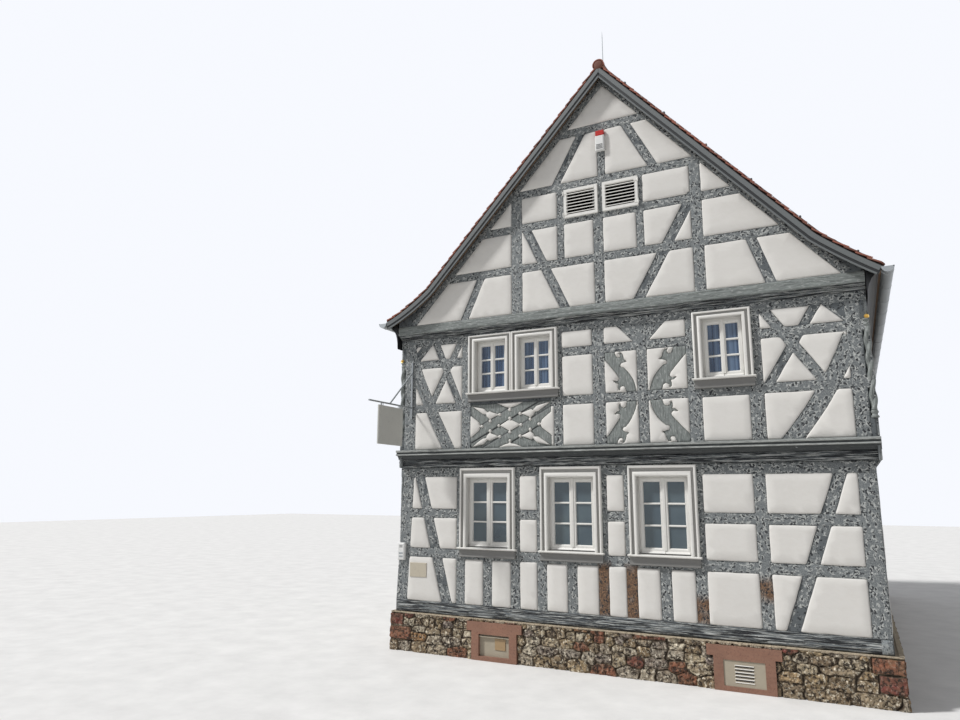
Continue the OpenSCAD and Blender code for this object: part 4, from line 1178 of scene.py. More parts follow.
def plaster_panels(name, node, walls, sides, step, grid):
    """Pillowed panels in every field between the timbers, with the coat inside the house."""
    s = sizes()
    build = Builder()
    for side in sides:
        wall = walls[side]
        proud = panel_proud(node, wall)
        for i, loop in enumerate(flat_outlines(node, wall, proud - 0.002, proud + 0.002)):
            if loop_area(loop) < 0.0004:
                continue
            seed = i * 1.7 + side * 31 + len(name)
            edge = wandering(resampled(loop, step), s.plaster_lap, s.plaster_wave, seed)

            def height(d, u, v, seed=seed):
                fade = min(d / s.plaster_round, 1.0)
                rim = PLASTER_LOW + (proud - PLASTER_LOW) * math.sqrt(1 - (1 - fade) ** 2)
                return rim + fade * s.plaster_wave * 0.8 * ripple(u, v, 0.33, seed)

            rings = [s.plaster_round * k for k in (0.1, 0.35, 1.0)]
            relief(build, wall, [edge], height, rings, grid, -TIMBER_T, seed)
        coat = flat_outlines(node, wall, -WALL_T - 0.001, -TIMBER_T - 0.01, inward=True)
        if coat:
            relief(build, wall, coat, lambda d, u, v: -TIMBER_T, [], None, -WALL_T)
    build.make(name, "lime_plaster", "plaster", node, angle=50)


def panel_proud(node, wall):
    """How far the outermost face of a node stands out of a wall."""
    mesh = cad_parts[node].data
    reach = [wall.uvh(vert.co)[2] for vert in mesh.vertices]
    return max(h for h in reach if h < 0.1)


class HOUSE_OT_plaster(bpy.types.Operator):
    """Fill the fields between the timbers with pillowed plaster panels."""

    bl_idname = "house.plaster"
    bl_label = "Plaster panels"

    def execute(self, context):
        fine, plain = (0.03, 0.09), (0.08, 0.22)
        for storey, walls in (("ground", GROUND), ("upper", UPPER), ("gable", GABLE)):
            for part, sides, steps in (("front", (FRONT,), fine), ("rear", (REAR,), plain),
                                       ("sides", (RIGHT, LEFT), plain)):
                if f"{storey}_infill_{part}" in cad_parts:
                    plaster_panels(f"{storey}_plaster_{part}", f"{storey}_infill_{part}", walls,
                                   sides, *steps)
        return {"FINISHED"}


# Timbers

# A hewn timber on a wall's face between the points a and b, flush with its neighbours or proud
# of them by its level, with a sag for a grown bow
Timber = namedtuple("Timber", "a b width level sag", defaults=(0.0,))

LEVEL_BRACE = 0.0005
LEVEL_ARM = 0.003
LEVEL_RAIL = 0.0035
LEVEL_STUD = 0.003
LEVEL_POST = 0.0055
LEVEL_PLATE = 0.007


def post(u, v0, v1, width=POST_W, level=LEVEL_POST):
    return Timber((u, v0), (u, v1), width, level)


def brace(a, b, width=BRACE_W, level=LEVEL_BRACE, sag=0.0):
    return Timber(a, b, width, level, sag)


def rails(u0, u1, v, openings, height=RAIL_H):
    """The parts of a level timber between the openings that it would cross."""
    runs = [(u0, u1)]
    for a, b, low, high in openings:
        if low < v < high:
            halves = [((r[0], min(r[1], a)), (max(r[0], b), r[1])) for r in runs]
            runs = [half for pair in halves for half in pair if half[1] - half[0] > 0.05]
    return [Timber((a, v), (b, v), height, LEVEL_RAIL) for a, b in runs]


def window_timbers(windows, foot, head, widths=()):
    """The posts beside each window, with their widths left and right of it."""
    found = []
    for i, w in enumerate(windows):
        left, right = widths[i] if widths else (POST_W, POST_W)
        found += [post(w.u0 - left / 2, foot, head, left),
                  post(w.u1 + right / 2, foot, head, right)]
    return found


def band(wall, v0, v1):
    """A plate or sill over the whole length of a wall."""
    return Timber((0, (v0 + v1) / 2), (wall.length, (v0 + v1) / 2), v1 - v0, LEVEL_PLATE)


def holes_of(windows):
    return [(w.u0, w.u1, w.z0, w.z1) for w in windows]


def plain_timbers(wall, windows, foot, head):
    """Corner posts, corner braces and window studs of a side or rear wall."""
    even = wall.side in (FRONT, REAR)
    inset = 0.0 if even else WALL_T
    width = CORNER_W if even else POST_W
    found = []
    for u, s in ((inset, 1), (wall.length - inset, -1)):
        found.append(post(u + s * width / 2, foot, head, width))
        found.append(brace((u + s * (width + 0.65), foot - 0.06),
                           (u + s * (width + 0.06), head + 0.06)))
        if not even:
            found.append(post(u - s * WALL_T / 2, foot, head, WALL_T, LEVEL_PLATE))
    found += [post(w.u, foot, w.z0, STUD_W, LEVEL_STUD) for w in windows]
    return found


GROUND_RAILS = (0.740, 1.355)
UPPER_RAILS = (0.672, 1.402)
UPPER_RAIL_H = 0.135


def ground_timbers(side):
    wall = GROUND[side]
    windows = windows_in(GROUND, side)
    openings = holes_of(windows)
    z0, z1 = GROUND_SILL, GROUND_HEAD
    found = window_timbers(windows, z0, z1)
    if side == LEFT:
        a, b, _, high = door_hole()
        openings.append(door_hole())
        found += [post(a - POST_W / 2, z0, z1), post(b + POST_W / 2, z0, z1)]
        found += rails(a, b, (high + z1) / 2, [], z1 - high)
    for v in GROUND_RAILS:
        found += rails(0, wall.length, z0 + v, openings)
    found.append(band(wall, z1, GROUND_PLATE))
    if side == FRONT:
        end = wall.length
        lean = 0.0475
        found += [
            Timber((CORNER_W / 2 - lean, z0), (CORNER_W / 2 + lean, z1), CORNER_W, LEVEL_POST),
            brace((0.905, z0 - 0.06), (0.350, z1 + 0.06), BRACE_W + 0.025),
            post(end - 1.345, z0, z1),
            brace((end - 1.085, z0 - 0.06), (end - 0.375, z1 + 0.06)),
            post(end - CORNER_W / 2, z0, z1, CORNER_W)]
        found += [post(w.u, z0, w.z0, STUD_W, LEVEL_STUD) for w in windows]
    else:
        found += plain_timbers(wall, windows, z0, z1)
        found.append(band(wall, PLINTH_TOP, z0))
    return found


def door_hole():
    u0, v0, _, u1, v1, _ = GROUND[LEFT].extent(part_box("yard_door"))
    return u0, u1, v0, v1


# The upper front, measured from the left end of its wall
CORNER_ZONE_LEFT = 0.295
CORNER_ZONE_RIGHT = 0.245
BAY_LEFT = 3.444
BAY_MID = 4.085
BAY_POST_W = 0.188
BAY_MID_W = 0.150
FRONT_POSTS = ((0.215, 0.145), (0.183, 0.185))
LATTICE = (1.320, 2.690, 0.690)


def upper_timbers(side):
    wall = UPPER[side]
    windows = windows_in(UPPER, side)
    openings = holes_of(windows)
    z0, z1 = UPPER_SILL, UPPER_HEAD
    found = window_timbers(windows, z0, z1, FRONT_POSTS if side == FRONT else ())
    if side == FRONT:
        openings.append((LATTICE[0], LATTICE[1], z0, z0 + LATTICE[2]))
        found = [clear_of_lattice(t) for t in found]
        cross = windows[1].u1 + POST_W / 2
        end = wall.length
        corner = end - CORNER_ZONE_RIGHT + 0.01
        found += [
            post(CORNER_ZONE_LEFT / 2 + 0.04, z0, z1, CORNER_ZONE_LEFT - 0.08),
            post(end - CORNER_ZONE_RIGHT / 2 - 0.04, z0, z1, CORNER_ZONE_RIGHT - 0.08),
            brace((0.950, z0 - 0.03), (0.260, z0 + 1.39), BRACE_W + 0.05, LEVEL_RAIL + 0.001,
                  0.025),
            brace((0.170, z1 - 0.337), (0.547, z1 + 0.059)),
            brace((0.670, z1 + 0.035), (1.115, z0 + 0.725), CROSS_W),
            brace((0.592, z0 + 0.725), (1.147, z1 + 0.04), CROSS_W, LEVEL_ARM),
            post(BAY_LEFT, z0, z1, BAY_POST_W),
            post(BAY_MID, z0, z1, BAY_MID_W),
            brace((cross + 0.155, z1 + 0.02), (cross + 0.820, z0 + 0.74), CROSS_W + 0.015,
                  LEVEL_RAIL + 0.0008),
            brace((cross + 0.133, z0 + 0.655), (cross + 0.805, z1 + 0.02), CROSS_W),
            brace((end - 1.015, z0 - 0.06), (end - 0.2, z0 + 1.25), BRACE_W + 0.065,
                  LEVEL_RAIL + 0.001, -0.060),
            brace((corner + 0.110, z1 - 0.260), (corner - 0.240, z1 + 0.090), 0.17),
        ]
        for s in (-1, 1):
            found.append(brace((BAY_MID - s * 0.08, z0 + 1.389),
                               (BAY_MID + s * 0.289, z0 + 1.774), 0.17, LEVEL_STUD))
    else:
        found += plain_timbers(wall, windows, z0, z1)
        found.append(band(wall, GROUND_PLATE, z0))
    for v in UPPER_RAILS:
        found += rails(0, wall.length, z0 + v, openings, UPPER_RAIL_H)
    found.append(band(wall, z1, UPPER_PLATE))
    return found


def clear_of_lattice(timber):
    """A post beside the window pair, narrowed where it would lap over the lattice."""
    u0, u1 = timber.a[0] - timber.width / 2, timber.a[0] + timber.width / 2
    if u0 < LATTICE[0] < u1:
        u1 = LATTICE[0]
    elif u0 < LATTICE[1] < u1:
        u0 = LATTICE[1]
    return post((u0 + u1) / 2, timber.a[1], timber.b[1], u1 - u0)


# The gable, measured from the line of the ridge
GABLE_RAILS = (0.705, 1.375, 1.930, 2.795)
GABLE_RAIL_H = 0.130
ROOF_T = 0.090
RAFTER_H = 0.110


def gable_timbers(side):
    """The front gable's timbers, and the same ones seen from behind for the rear gable."""
    ridge_x, ridge_z = RIDGE
    middle = GABLE[side].uvh(Vector((ridge_x, 0, 0)))[0]
    flip = 1 if side == FRONT else -1
    z = [ATTIC_SILL + v for v in GABLE_RAILS]
    found = []

    def line(u0, v0, u1, v1, width, level=LEVEL_BRACE):
        found.append(Timber((middle + flip * u0, v0), (middle + flip * u1, v1), width, level))

    for u, width in ((-1.470, POST_W + 0.03), (-0.130, POST_W), (1.305, POST_W)):
        line(u, ATTIC_SILL, u, z[2], width, LEVEL_POST)
    for u in (-0.730, 0.500):
        line(u, z[0], u, z[2], 0.115, LEVEL_STUD)
    line(-0.055, z[2], -0.055, z[3], 0.120, LEVEL_STUD)
    line(-1.340, z[1] + 0.04, -0.650, ATTIC_SILL - 0.06, 0.140)
    line(1.270, z[1] + 0.06, 0.415, ATTIC_SILL - 0.06, BRACE_W)
    for s in (-1, 1):
        line(s * 0.79 - 0.037, z[2], s * 0.322 - 0.017, z[3], 0.125)
    for foot, head in ((-2.420, -2.062), (2.220, 1.960)):
        line(foot, ATTIC_SILL - 0.04, head, z[0] + 0.04, 0.130)
    for s, pitch in PITCH.items():
        depth = (ROOF_T + RAFTER_H / 2) / math.cos(pitch)
        run = (ridge_z - depth - ATTIC_SILL - 0.02) / math.tan(pitch)
        line(s * run, ATTIC_SILL + 0.02, 0, ridge_z - depth, RAFTER_H, LEVEL_PLATE)
        for v in z:
            line(0, v, s * (ridge_z - 0.17 - v) / math.tan(pitch), v, GABLE_RAIL_H, LEVEL_RAIL)
    return found


def timber_plate(build, wall, timber, step, seed, stain=None):
    """The hewn face of a timber, a little wider than the field that the plaster leaves."""
    start = Vector(timber.a)
    along = Vector(timber.b) - start
    length = along.length
    along.normalize()
    across = Vector((along.y, -along.x))
    half = timber.width / 2 + 0.004
    inner = max(1, round((2 * half - 0.03) / (step * 0.8)))
    offsets = [-half, -half + 0.005]
    offsets += [-half + 0.015 + (2 * half - 0.03) * i / inner for i in range(inner + 1)]
    offsets += [half - 0.005, half]
    drops = [-0.02, -0.004] + [0.0] * (inner + 1) + [-0.004, -0.02]
    rows = max(2, round(length / step) + 1)
    n = len(offsets)
    verts = []
    uvs = []
    stains = []
    for r in range(rows):
        run = length * r / (rows - 1)
        bow = timber.sag * 4 * (run / length) * (1 - run / length)
        for offset, drop in zip(offsets, drops):
            p = start + along * run - across * bow + across * offset
            if drop:
                rise = 0.003 * ripple(run, half, 0.12, seed + offset)
            else:
                swell = ripple(offset * 2.2, run, 0.16, seed)
                swell += 0.5 * ripple(offset, run, 0.05, seed)
                rise = sizes().timber_wave * 0.45 * swell
            verts.append(wall.at(*p, timber.level + drop + rise))
            uvs.append((offset + seed * 0.37, run + seed * 0.71))
            stains.append(stain(*p) if stain else 0.0)
    count = rows * n
    last = count - n
    for i in (0, n - 1, last, count - 1):
        verts.append(wall.at(*wall.uvh(verts[i])[:2], -0.03))
    a, b, c, d = range(count, count + 4)
    faces = grid_faces(rows, n) + [
        (a, b, *range(n - 1, -1, -1)), (d, c, *range(last, count)),
        (c, a, *range(0, count, n)), (b, d, *range(count - 1, 0, -n)), (c, d, b, a)]
    build.add(verts, faces, uvs + [uvs[0]] * 4, 0, 0.5 + 0.35 * math.sin(seed * 12.9),
              stains + [0.0] * 4)


def rust_stain(u, v):
    """Brown stains low on four posts of the ground floor front."""
    total = 0.0
    for middle, low, high, strength in ((3.44, 0.7, 1.52, 0.75), (3.84, 0.7, 1.5, 0.9),
                                        (4.78, 0.7, 1.15, 0.8), (5.56, 1.05, 1.42, 0.7)):
        if abs(u - middle) < 0.1 and low < v < high:
            fade = min((v - low) / 0.12, (high - v) / 0.12, 1.0)
            total = max(total, strength * fade * (0.75 + 0.5 * ripple(u, v, 0.12, 4.0)))
    return min(max(total, 0.0), 1.0)


def timber_piece(name, groups, step, stain=None):
    """One object with the timbers of one or more walls."""
    build = Builder()
    for wall, timbers in groups:
        for i, timber in enumerate(timbers):
            timber_plate(build, wall, timber, step, 1.0 + i * 0.73 + wall.side * 19, stain)
    build.make(name, "hewn_timber", "timber", angle=50)


class HOUSE_OT_timbers(bpy.types.Operator):
    """Face every timber of the frame with its own hewn surface."""

    bl_idname = "house.timbers"
    bl_label = "Timbers"

    def execute(self, context):
        timber_piece("ground_timbers_front", [(GROUND[FRONT], ground_timbers(FRONT))],
                     0.026, rust_stain)
        timber_piece("upper_timbers_front", [(UPPER[FRONT], upper_timbers(FRONT))], 0.026)
        timber_piece("gable_timbers_front", [(GABLE[FRONT], gable_timbers(FRONT))], 0.026)
        rest = (RIGHT, REAR, LEFT)
        timber_piece("ground_timbers_rest", [(GROUND[s], ground_timbers(s)) for s in rest], 0.055)
        timber_piece("upper_timbers_rest", [(UPPER[s], upper_timbers(s)) for s in rest], 0.055)
        timber_piece("gable_timbers_rear", [(GABLE[REAR], gable_timbers(REAR))], 0.055)
        for storey in ("ground", "upper", "gable"):
            for part in ("front", "rear", "sides"):
                paint_node(f"{storey}_frame_{part}", "hewn_timber_plain")
        return {"FINISHED"}


# Plinth

STONE_SINK = 0.062
SHEET_BACK = -0.066
QUOIN_KEY = 900.0
END_ROUND = 0.03

# Lowest and highest level, length and tint of the two dressed stones at a corner
QUOINS = ((0.165, 0.368, 0.40, 0.03), (0.378, 0.556, 0.36, 0.09))


def shrunk_core(build, node, low, high):
    """A copy of a plinth node with its outer faces set back behind the stones."""
    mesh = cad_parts[node].data
    verts = [vert.co.copy() for vert in mesh.vertices]
    for p in verts:
        for axis in (0, 1):
            if abs(p[axis] - low[axis]) < 1e-4:
                p[axis] += STONE_SINK
            if abs(p[axis] - high[axis]) < 1e-4:
                p[axis] -= STONE_SINK
        if abs(p.z - high.z) < 1e-4:
            p.z -= 0.012
    build.add(verts, [tuple(poly.vertices) for poly in mesh.polygons], None, 1)


def stone_seeds(wall, rng):
    """Middles, tints and proportions of the rubble stones, in irregular courses."""
    seeds = []
    v = 0.0
    while v < PLINTH_TOP:
        height = sizes().stone_h * rng.uniform(0.50, 1.60)
        u = -rng.random() * 0.2
        while u < wall.length + 0.1:
            flat = wall.side == FRONT and u > 5.9
            width = height * rng.uniform(1.6, 3.6) if flat else height * rng.uniform(0.9, 2.4)
            red = rng.random() < 0.10 and not flat
            tint = rng.uniform(0.0, 0.12) if red else rng.uniform(0.14, 1.0)
            seeds.append((u + width / 2, v + height / 2 + rng.uniform(-0.02, 0.02), tint,
                          width / height))
            u += width
        v += height * 0.92
    return seeds


def quoin_boxes(wall):
    """The dressed stones at both ends of a face, each with its tint."""
    boxes = []
    for k, (v0, v1, width, tint) in enumerate(QUOINS):
        for end in (0, 1):
            w = width - 0.10 * ((k + end + wall.side) % 2)
            u0 = wall.length - w if end else 0.0
            boxes.append((u0, v0, u0 + w, v1, tint if end else 0.12 - tint))
    return boxes


def own_share(key, turn, size):
    """A number between 0 and 1 that each stone keeps by its key."""
    share = np.sin(key * turn) * size
    return share - np.floor(share)


def rubble_sheet(build, wall, surrounds, step, rng):
    """The broken face of a rubble wall: each stone has its own tilt, and the joints lie
    deep. The stain is 1 on stones, 0 in the joints, which the finish paints dark as shade, and -1
    on the bed at the top."""
    v1 = PLINTH_TOP
    columns = round((wall.length - 0.044) / step) + 1
    rows = round(v1 / step) + 1
    u, v = (a.ravel() for a in np.meshgrid(np.linspace(0.022, wall.length - 0.022, columns),
                                           np.linspace(0.0, v1, rows)))
    seed = rng.random() * 50

    def octave(scale, shift):
        return np.array([noise.noise(Vector((a * scale, b * scale, seed + shift)))
                         for a, b in zip(u, v)])

    wander = octave(9, 0), octave(9, 3)
    wu, wv = u + 0.020 * wander[0], v + 0.016 * wander[1]
    seeds = np.array(stone_seeds(wall, rng))
    best = np.full(len(u), 9.0)
    second = best.copy()
    which = np.zeros(len(u), int)
    for k, (cu, cv, _, ratio) in enumerate(seeds):
        squash = 1 / math.sqrt(ratio)
        d = np.hypot((wu - cu) * squash, (wv - cv) / squash)
        closer = d < best
        second = np.where(closer, best, np.minimum(second, d))
        which = np.where(closer, k, which)
        best = np.where(closer, d, best)
    gap = (second - best) / 2
    middle_u, middle_v, tint = seeds[which, :3].T
    key = which.astype(float)
    for k, (a0, b0, a1, b1, quoin_tint) in enumerate(quoin_boxes(wall)):
        end = np.maximum(np.maximum(u - a1 if a0 == 0.0 else a0 - u, b0 - v), v - b1)
        off = np.maximum(np.maximum(a0 - u, u - a1), np.maximum(b0 - v, v - b1))
        off += 0.004 * wander[0]
        inside = off < 0
        gap = np.where(inside, -end, np.minimum(gap, np.maximum(off, 0)))
        tint = np.where(inside, quoin_tint, tint)
        middle_u = np.where(inside, (a0 + a1) / 2, middle_u)
        middle_v = np.where(inside, (b0 + b1) / 2, middle_v)
        key = np.where(inside, QUOIN_KEY + k, key)
    broken = (0.55 * (1 - 2 * np.abs(octave(14, 7))) + 0.45 * (1 - 2 * np.abs(octave(33, 11)))
              + 0.35 * octave(80, 15))
    dome = np.sqrt(1 - (1 - np.clip((gap - 0.002) / 0.018, 0, 1)) ** 2)
    own = own_share(key, 12.9, 43758.5)
    other = own_share(key, 78.2, 12543.1)
    face = -0.014 * own + 0.16 * (own - 0.5) * (v - middle_v)
    face += 0.09 * (other - 0.5) * (u - middle_u)
    h = -0.040 + dome * (0.038 + face)
    dressed = np.where(key >= QUOIN_KEY, 0.55, 1)
    h += sizes().stone_rough * (broken - 0.55) * (0.35 + 0.65 * dome) * dressed
    bed = v > v1 - 0.020 - 0.008 * wander[0]
    hollow = gap - 0.002 + 0.016 * octave(16, 21)
    # A stain of 0 in the joints makes the finish paint them dark as shade
    stain = np.where(bed, -1.0, np.clip(hollow / 0.012, 0, 1))
    h = np.where(bed, -0.012 + 0.004 * wander[1], h - 0.010 * np.clip(-hollow / 0.008, 0, 1))
    near = np.clip(1 - np.minimum(u, wall.length - u) / END_ROUND, 0, 1)
    h = np.minimum(h, 0.004) - END_ROUND * (1 - np.sqrt(1 - near ** 2))
    faces = grid_faces(rows, columns)
    for outline, (a0, b0, a1, b1) in surrounds:
        h = np.where(inside_loops(np.column_stack((u, v)), [outline]), -0.045, h)
        faces = [face for face in faces if not (a0 < u[face[0]] + step / 2 < a1
                                                and b0 < v[face[0]] + step / 2 < b1)]
    verts = [wall.at(a, b, c) for a, b, c in zip(u, v, h)]
    build.add(verts, faces, None, 0, list(tint), list(stain))
    ids = np.arange(len(u)).reshape(rows, columns)
    for line in (ids[0], ids[:, -1], ids[-1, ::-1], ids[::-1, 0]):
        build.add([verts[i] for i in line] + [wall.at(u[i], v[i], SHEET_BACK) for i in line],
                  grid_faces(2, len(line)), None, 0, list(tint[line]) * 2,
                  list(stain[line]) * 2)


class HOUSE_OT_plinth(bpy.types.Operator):
    """Lay the rubble stones of the plinth and its red corner stones."""

    bl_idname = "house.plinth"
    bl_label = "Plinth"

    def execute(self, context):
        low, high = (corner.copy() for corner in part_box("plinth_sides"))
        low.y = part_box("plinth_front")[0].y
        high.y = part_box("plinth_rear")[1].y
        walls = four_walls(low.x, low.y, high.x, high.y)
        for part, sides in (("front", (FRONT,)), ("rear", (REAR,)), ("sides", (RIGHT, LEFT))):
            node = f"plinth_{part}"
            rng = random.Random(len(node) * 7)
            build = Builder()
            shrunk_core(build, node, low, high)
            for side in sides:
                surrounds = cellar_outlines(walls[side]) if side == FRONT else []
                rubble_sheet(build, walls[side], surrounds, 0.012 if side == FRONT else 0.024,
                             rng)
            build.make(f"rubble_{part}", "rubble_stone old_mortar", "rubble", node, angle=80)
        return {"FINISHED"}


def cellar_outlines(wall):
    """The outline of the dressed stones round each cellar light, with the box of its hole."""
    loops = flat_outlines("cellar_surrounds", wall, 0.002, 0.2)
    found = []
    for box in solid_boxes("cellar_surrounds"):
        u0, _, _, u1, _, _ = wall.extent(box)
        mine = [one for one in loops
                if u0 - 0.01 < loop_box(one)[0] and loop_box(one)[2] < u1 + 0.01]
        outline = max(mine, key=lambda one: abs(loop_area(one)))
        found.append((outline, loop_box(min(mine, key=loop_area))))
    return found


class HOUSE_OT_cellar_lights(bpy.types.Operator):
    """Finish the sandstone round the cellar lights, their cover and their vent."""

    bl_idname = "house.cellar_lights"
    bl_label = "Cellar lights"

    def execute(self, context):
        paint_node("cellar_surrounds", "red_sandstone")
        paint_node("cellar_panels", "grey_render")
        paint_node("door_steps", "red_sandstone")
        build = Builder()
        cover, vent = solid_boxes("cellar_panels")[:2]
        wall = GROUND[FRONT]
        u0, _, face = wall.uvh(cover[0])
        face -= 0.035
        block(build, wall, u0 + 0.255, u0 + 0.425, 0.16, 0.32, face - 0.01, face + 0.010,
              0.002, 1)
        u, v, _ = wall.uvh((vent[0] + vent[1]) / 2)
        h = wall.uvh(vent[0])[2]
        for i in range(6):
            louvre = v + 0.10 - i * 0.040
            bar(build, wall, u - 0.115, u + 0.115,
                ((h - 0.030, louvre + 0.0165), (h - 0.030, louvre + 0.0095),
                 (h + 0.004, louvre - 0.007), (h + 0.008, louvre - 0.004), (h + 0.006, louvre)))
        build.make("cellar_fittings", "white_oil_paint ochre_paint", "white_paint")
        return {"FINISHED"}


# Windows

CASING_LAP = 0.080
HEAD_LAP = {"ground": 0.135, "upper": 0.080}
LINING = 0.035
HEAD_LINING = 0.020
MULLION = 0.215
REVEAL = 0.060
LEAF_T = 0.045
LEAF_BACK = -REVEAL - LEAF_T
LEAF_FACE = -REVEAL + 0.006

# Shares of the width from the outer edge to the clear hole, with heights out of the wall and
# a tint, kept low in the hollow and the reveal to paint them darker as shade
CASING_PROFILE = (
    (0.0, -0.005, 0.5), (0.0, 0.050, 0.5), (0.02, 0.058, 0.5), (0.07, 0.064, 0.5),
    (0.14, 0.066, 0.5), (0.21, 0.064, 0.5), (0.26, 0.058, 0.42), (0.285, 0.040, 0.15),
    (0.33, 0.028, 0.17), (0.54, 0.028, 0.19), (0.58, 0.040, 0.25), (0.61, 0.055, 0.5),
    (0.68, 0.060, 0.5), (0.84, 0.060, 0.5), (0.92, 0.056, 0.5), (0.97, 0.046, 0.40),
    (1.0, 0.036, 0.34), (1.0, -REVEAL - 0.002, 0.28), (0.76, -REVEAL - 0.002, 0.28),
    (0.76, -0.005, 0.28))

# Profiles of (h, v), with v measured from the foot of the opening
LEDGE = ((-0.002, -0.024), (0.072, -0.024), (0.080, -0.020), (0.088, -0.016),
         (0.094, -0.010), (0.094, -0.004), (0.088, 0.001), (-0.002, 0.006))
APRON = ((-0.002, -0.140), (0.050, -0.140), (0.054, -0.136), (0.055, -0.128),
         (0.050, -0.122), (0.043, -0.119), (0.041, -0.114), (0.041, -0.040),
         (0.046, -0.034), (0.058, -0.028), (0.064, -0.024), (-0.002, -0.024))

# Profiles of (h, v) about the face of a leaf
DRIP = ((-0.01, 0.006), (0.020, 0.006), (0.024, 0.012), (0.018, 0.022), (0.006, 0.036),
        (-0.01, 0.044))
GLAZING_BAR = ((-0.045, -0.013), (-0.016, -0.014), (-0.004, -0.007), (-0.002, 0.0),
               (-0.004, 0.007), (-0.016, 0.014), (-0.045, 0.013))
COVER_STRIP = ((-0.004, -0.020), (0.006, -0.020), (0.013, -0.014), (0.010, -0.006),
               (0.014, 0.0), (0.010, 0.006), (0.013, 0.014), (0.006, 0.020), (-0.004, 0.020))
BLIND_FRAME = ((0.0, LEAF_BACK), (0.0, -REVEAL - 0.001), (0.9, -REVEAL - 0.001),
               (1.0, -REVEAL - 0.006), (1.0, LEAF_BACK))
LEAF_FRAME = ((0.0, LEAF_BACK + 0.004), (0.0, LEAF_FACE - 0.005), (0.10, LEAF_FACE),
              (0.78, LEAF_FACE), (0.84, LEAF_FACE - 0.002), (0.88, LEAF_FACE - 0.010),
              (1.0, LEAF_FACE - 0.020), (1.0, LEAF_BACK + 0.004))


def leaf_pairs(window):
    """The clear hole, the casing's outline and the panes for each pair of leaves."""
    count = len(window.panes) // 2
    width = (window.u1 - window.u0 - 2 * LINING - (count - 1) * MULLION) / count
    pairs = []
    for i in range(count):
        hole_u = window.u0 + LINING + i * (width + MULLION)
        hole = (hole_u, window.z0 - 0.004, hole_u + width, window.z1 - HEAD_LINING)
        outer = (window.u0 - CASING_LAP if i == 0 else window.u, window.z0 - 0.018,
                 window.u1 + CASING_LAP if i == count - 1 else window.u,
                 window.z1 + HEAD_LAP[window.storey])
        pairs.append((hole, outer, window.panes[2 * i:2 * i + 2]))
    return pairs


def casing(build, window):
    """Moulded casings with the ledge and the apron board under them, the apron painted darker as
    the ledge's shadow.
    """
    wall = window.wall
    pairs = leaf_pairs(window)
    for hole, outer, _ in pairs:
        moulding_ring(build, wall, outer, hole, CASING_PROFILE)
    u0, u1 = pairs[0][1][0], pairs[-1][1][2]
    bar(build, wall, u0 - 0.026, u1 + 0.026, shifted(LEDGE, 0.0, window.z0))
    # The apron's low tint paints the shadow of the ledge on it
    bar(build, wall, u0 - 0.006, u1 + 0.006, shifted(APRON, 0.0, window.z0), 0, 0.05)


def casements(build, window):
    """Blind frame, two leaves with glazing bars, cover strip, weather bar and hinges."""
    wall = window.wall
    for (u0, v0, u1, v1), _, panes in leaf_pairs(window):
        blind = (u0 + 0.020, v0 + 0.016, u1 - 0.020, v1 - 0.020)
        around = (u0 - 0.028, v0 - 0.028, u1 + 0.028, v1 + 0.028)
        moulding_ring(build, wall, around, blind, BLIND_FRAME)
        middle = (panes[0][2] + panes[1][0]) / 2
        for pane, side, edge in zip(panes, (-1, 1), (blind[0], blind[2])):
            low_u, high_u = sorted((edge + side * 0.006, middle + side * 0.002))
            moulding_ring(build, wall, (low_u, blind[1] - 0.006, high_u, blind[3] + 0.006), pane,
                          LEAF_FRAME)
            for j in (1, 2):
                v = pane[1] + (pane[3] - pane[1]) * j / 3
                bar(build, wall, pane[0] - 0.004, pane[2] + 0.004,
                    shifted(GLAZING_BAR, LEAF_FACE, v))
            for share in (0.14, 0.86):
                v = blind[1] + (blind[3] - blind[1]) * share
                pin(build, wall, edge - side * 0.001, v, LEAF_FACE + 0.003, 0.035, 0.0065)
            low_u, high_u = sorted((middle + side * 0.003, edge - side * 0.004))
            bar(build, wall, low_u, high_u, shifted(DRIP, LEAF_FACE, blind[1]))
        loft(build, [[wall.at(middle + du, v, LEAF_FACE + h) for h, du in COVER_STRIP]
                     for v in (blind[1] + 0.05, blind[3] + 0.002)])


class HOUSE_OT_windows(bpy.types.Operator):
    """Make the moulded casings, the casements with their bars and the glass."""

    bl_idname = "house.windows"
    bl_label = "Windows"

    def execute(self, context):
        for part, shape in (("casings", casing), ("casements", casements)):
            build = Builder()
            for window in WINDOWS:
                shape(build, window)
            build.make(part, "white_oil_paint", "white_paint", f"window_{part}", angle=40)
        paint_node("window_glass", "window_glass")
        return {"FINISHED"}


# Louvred shutters

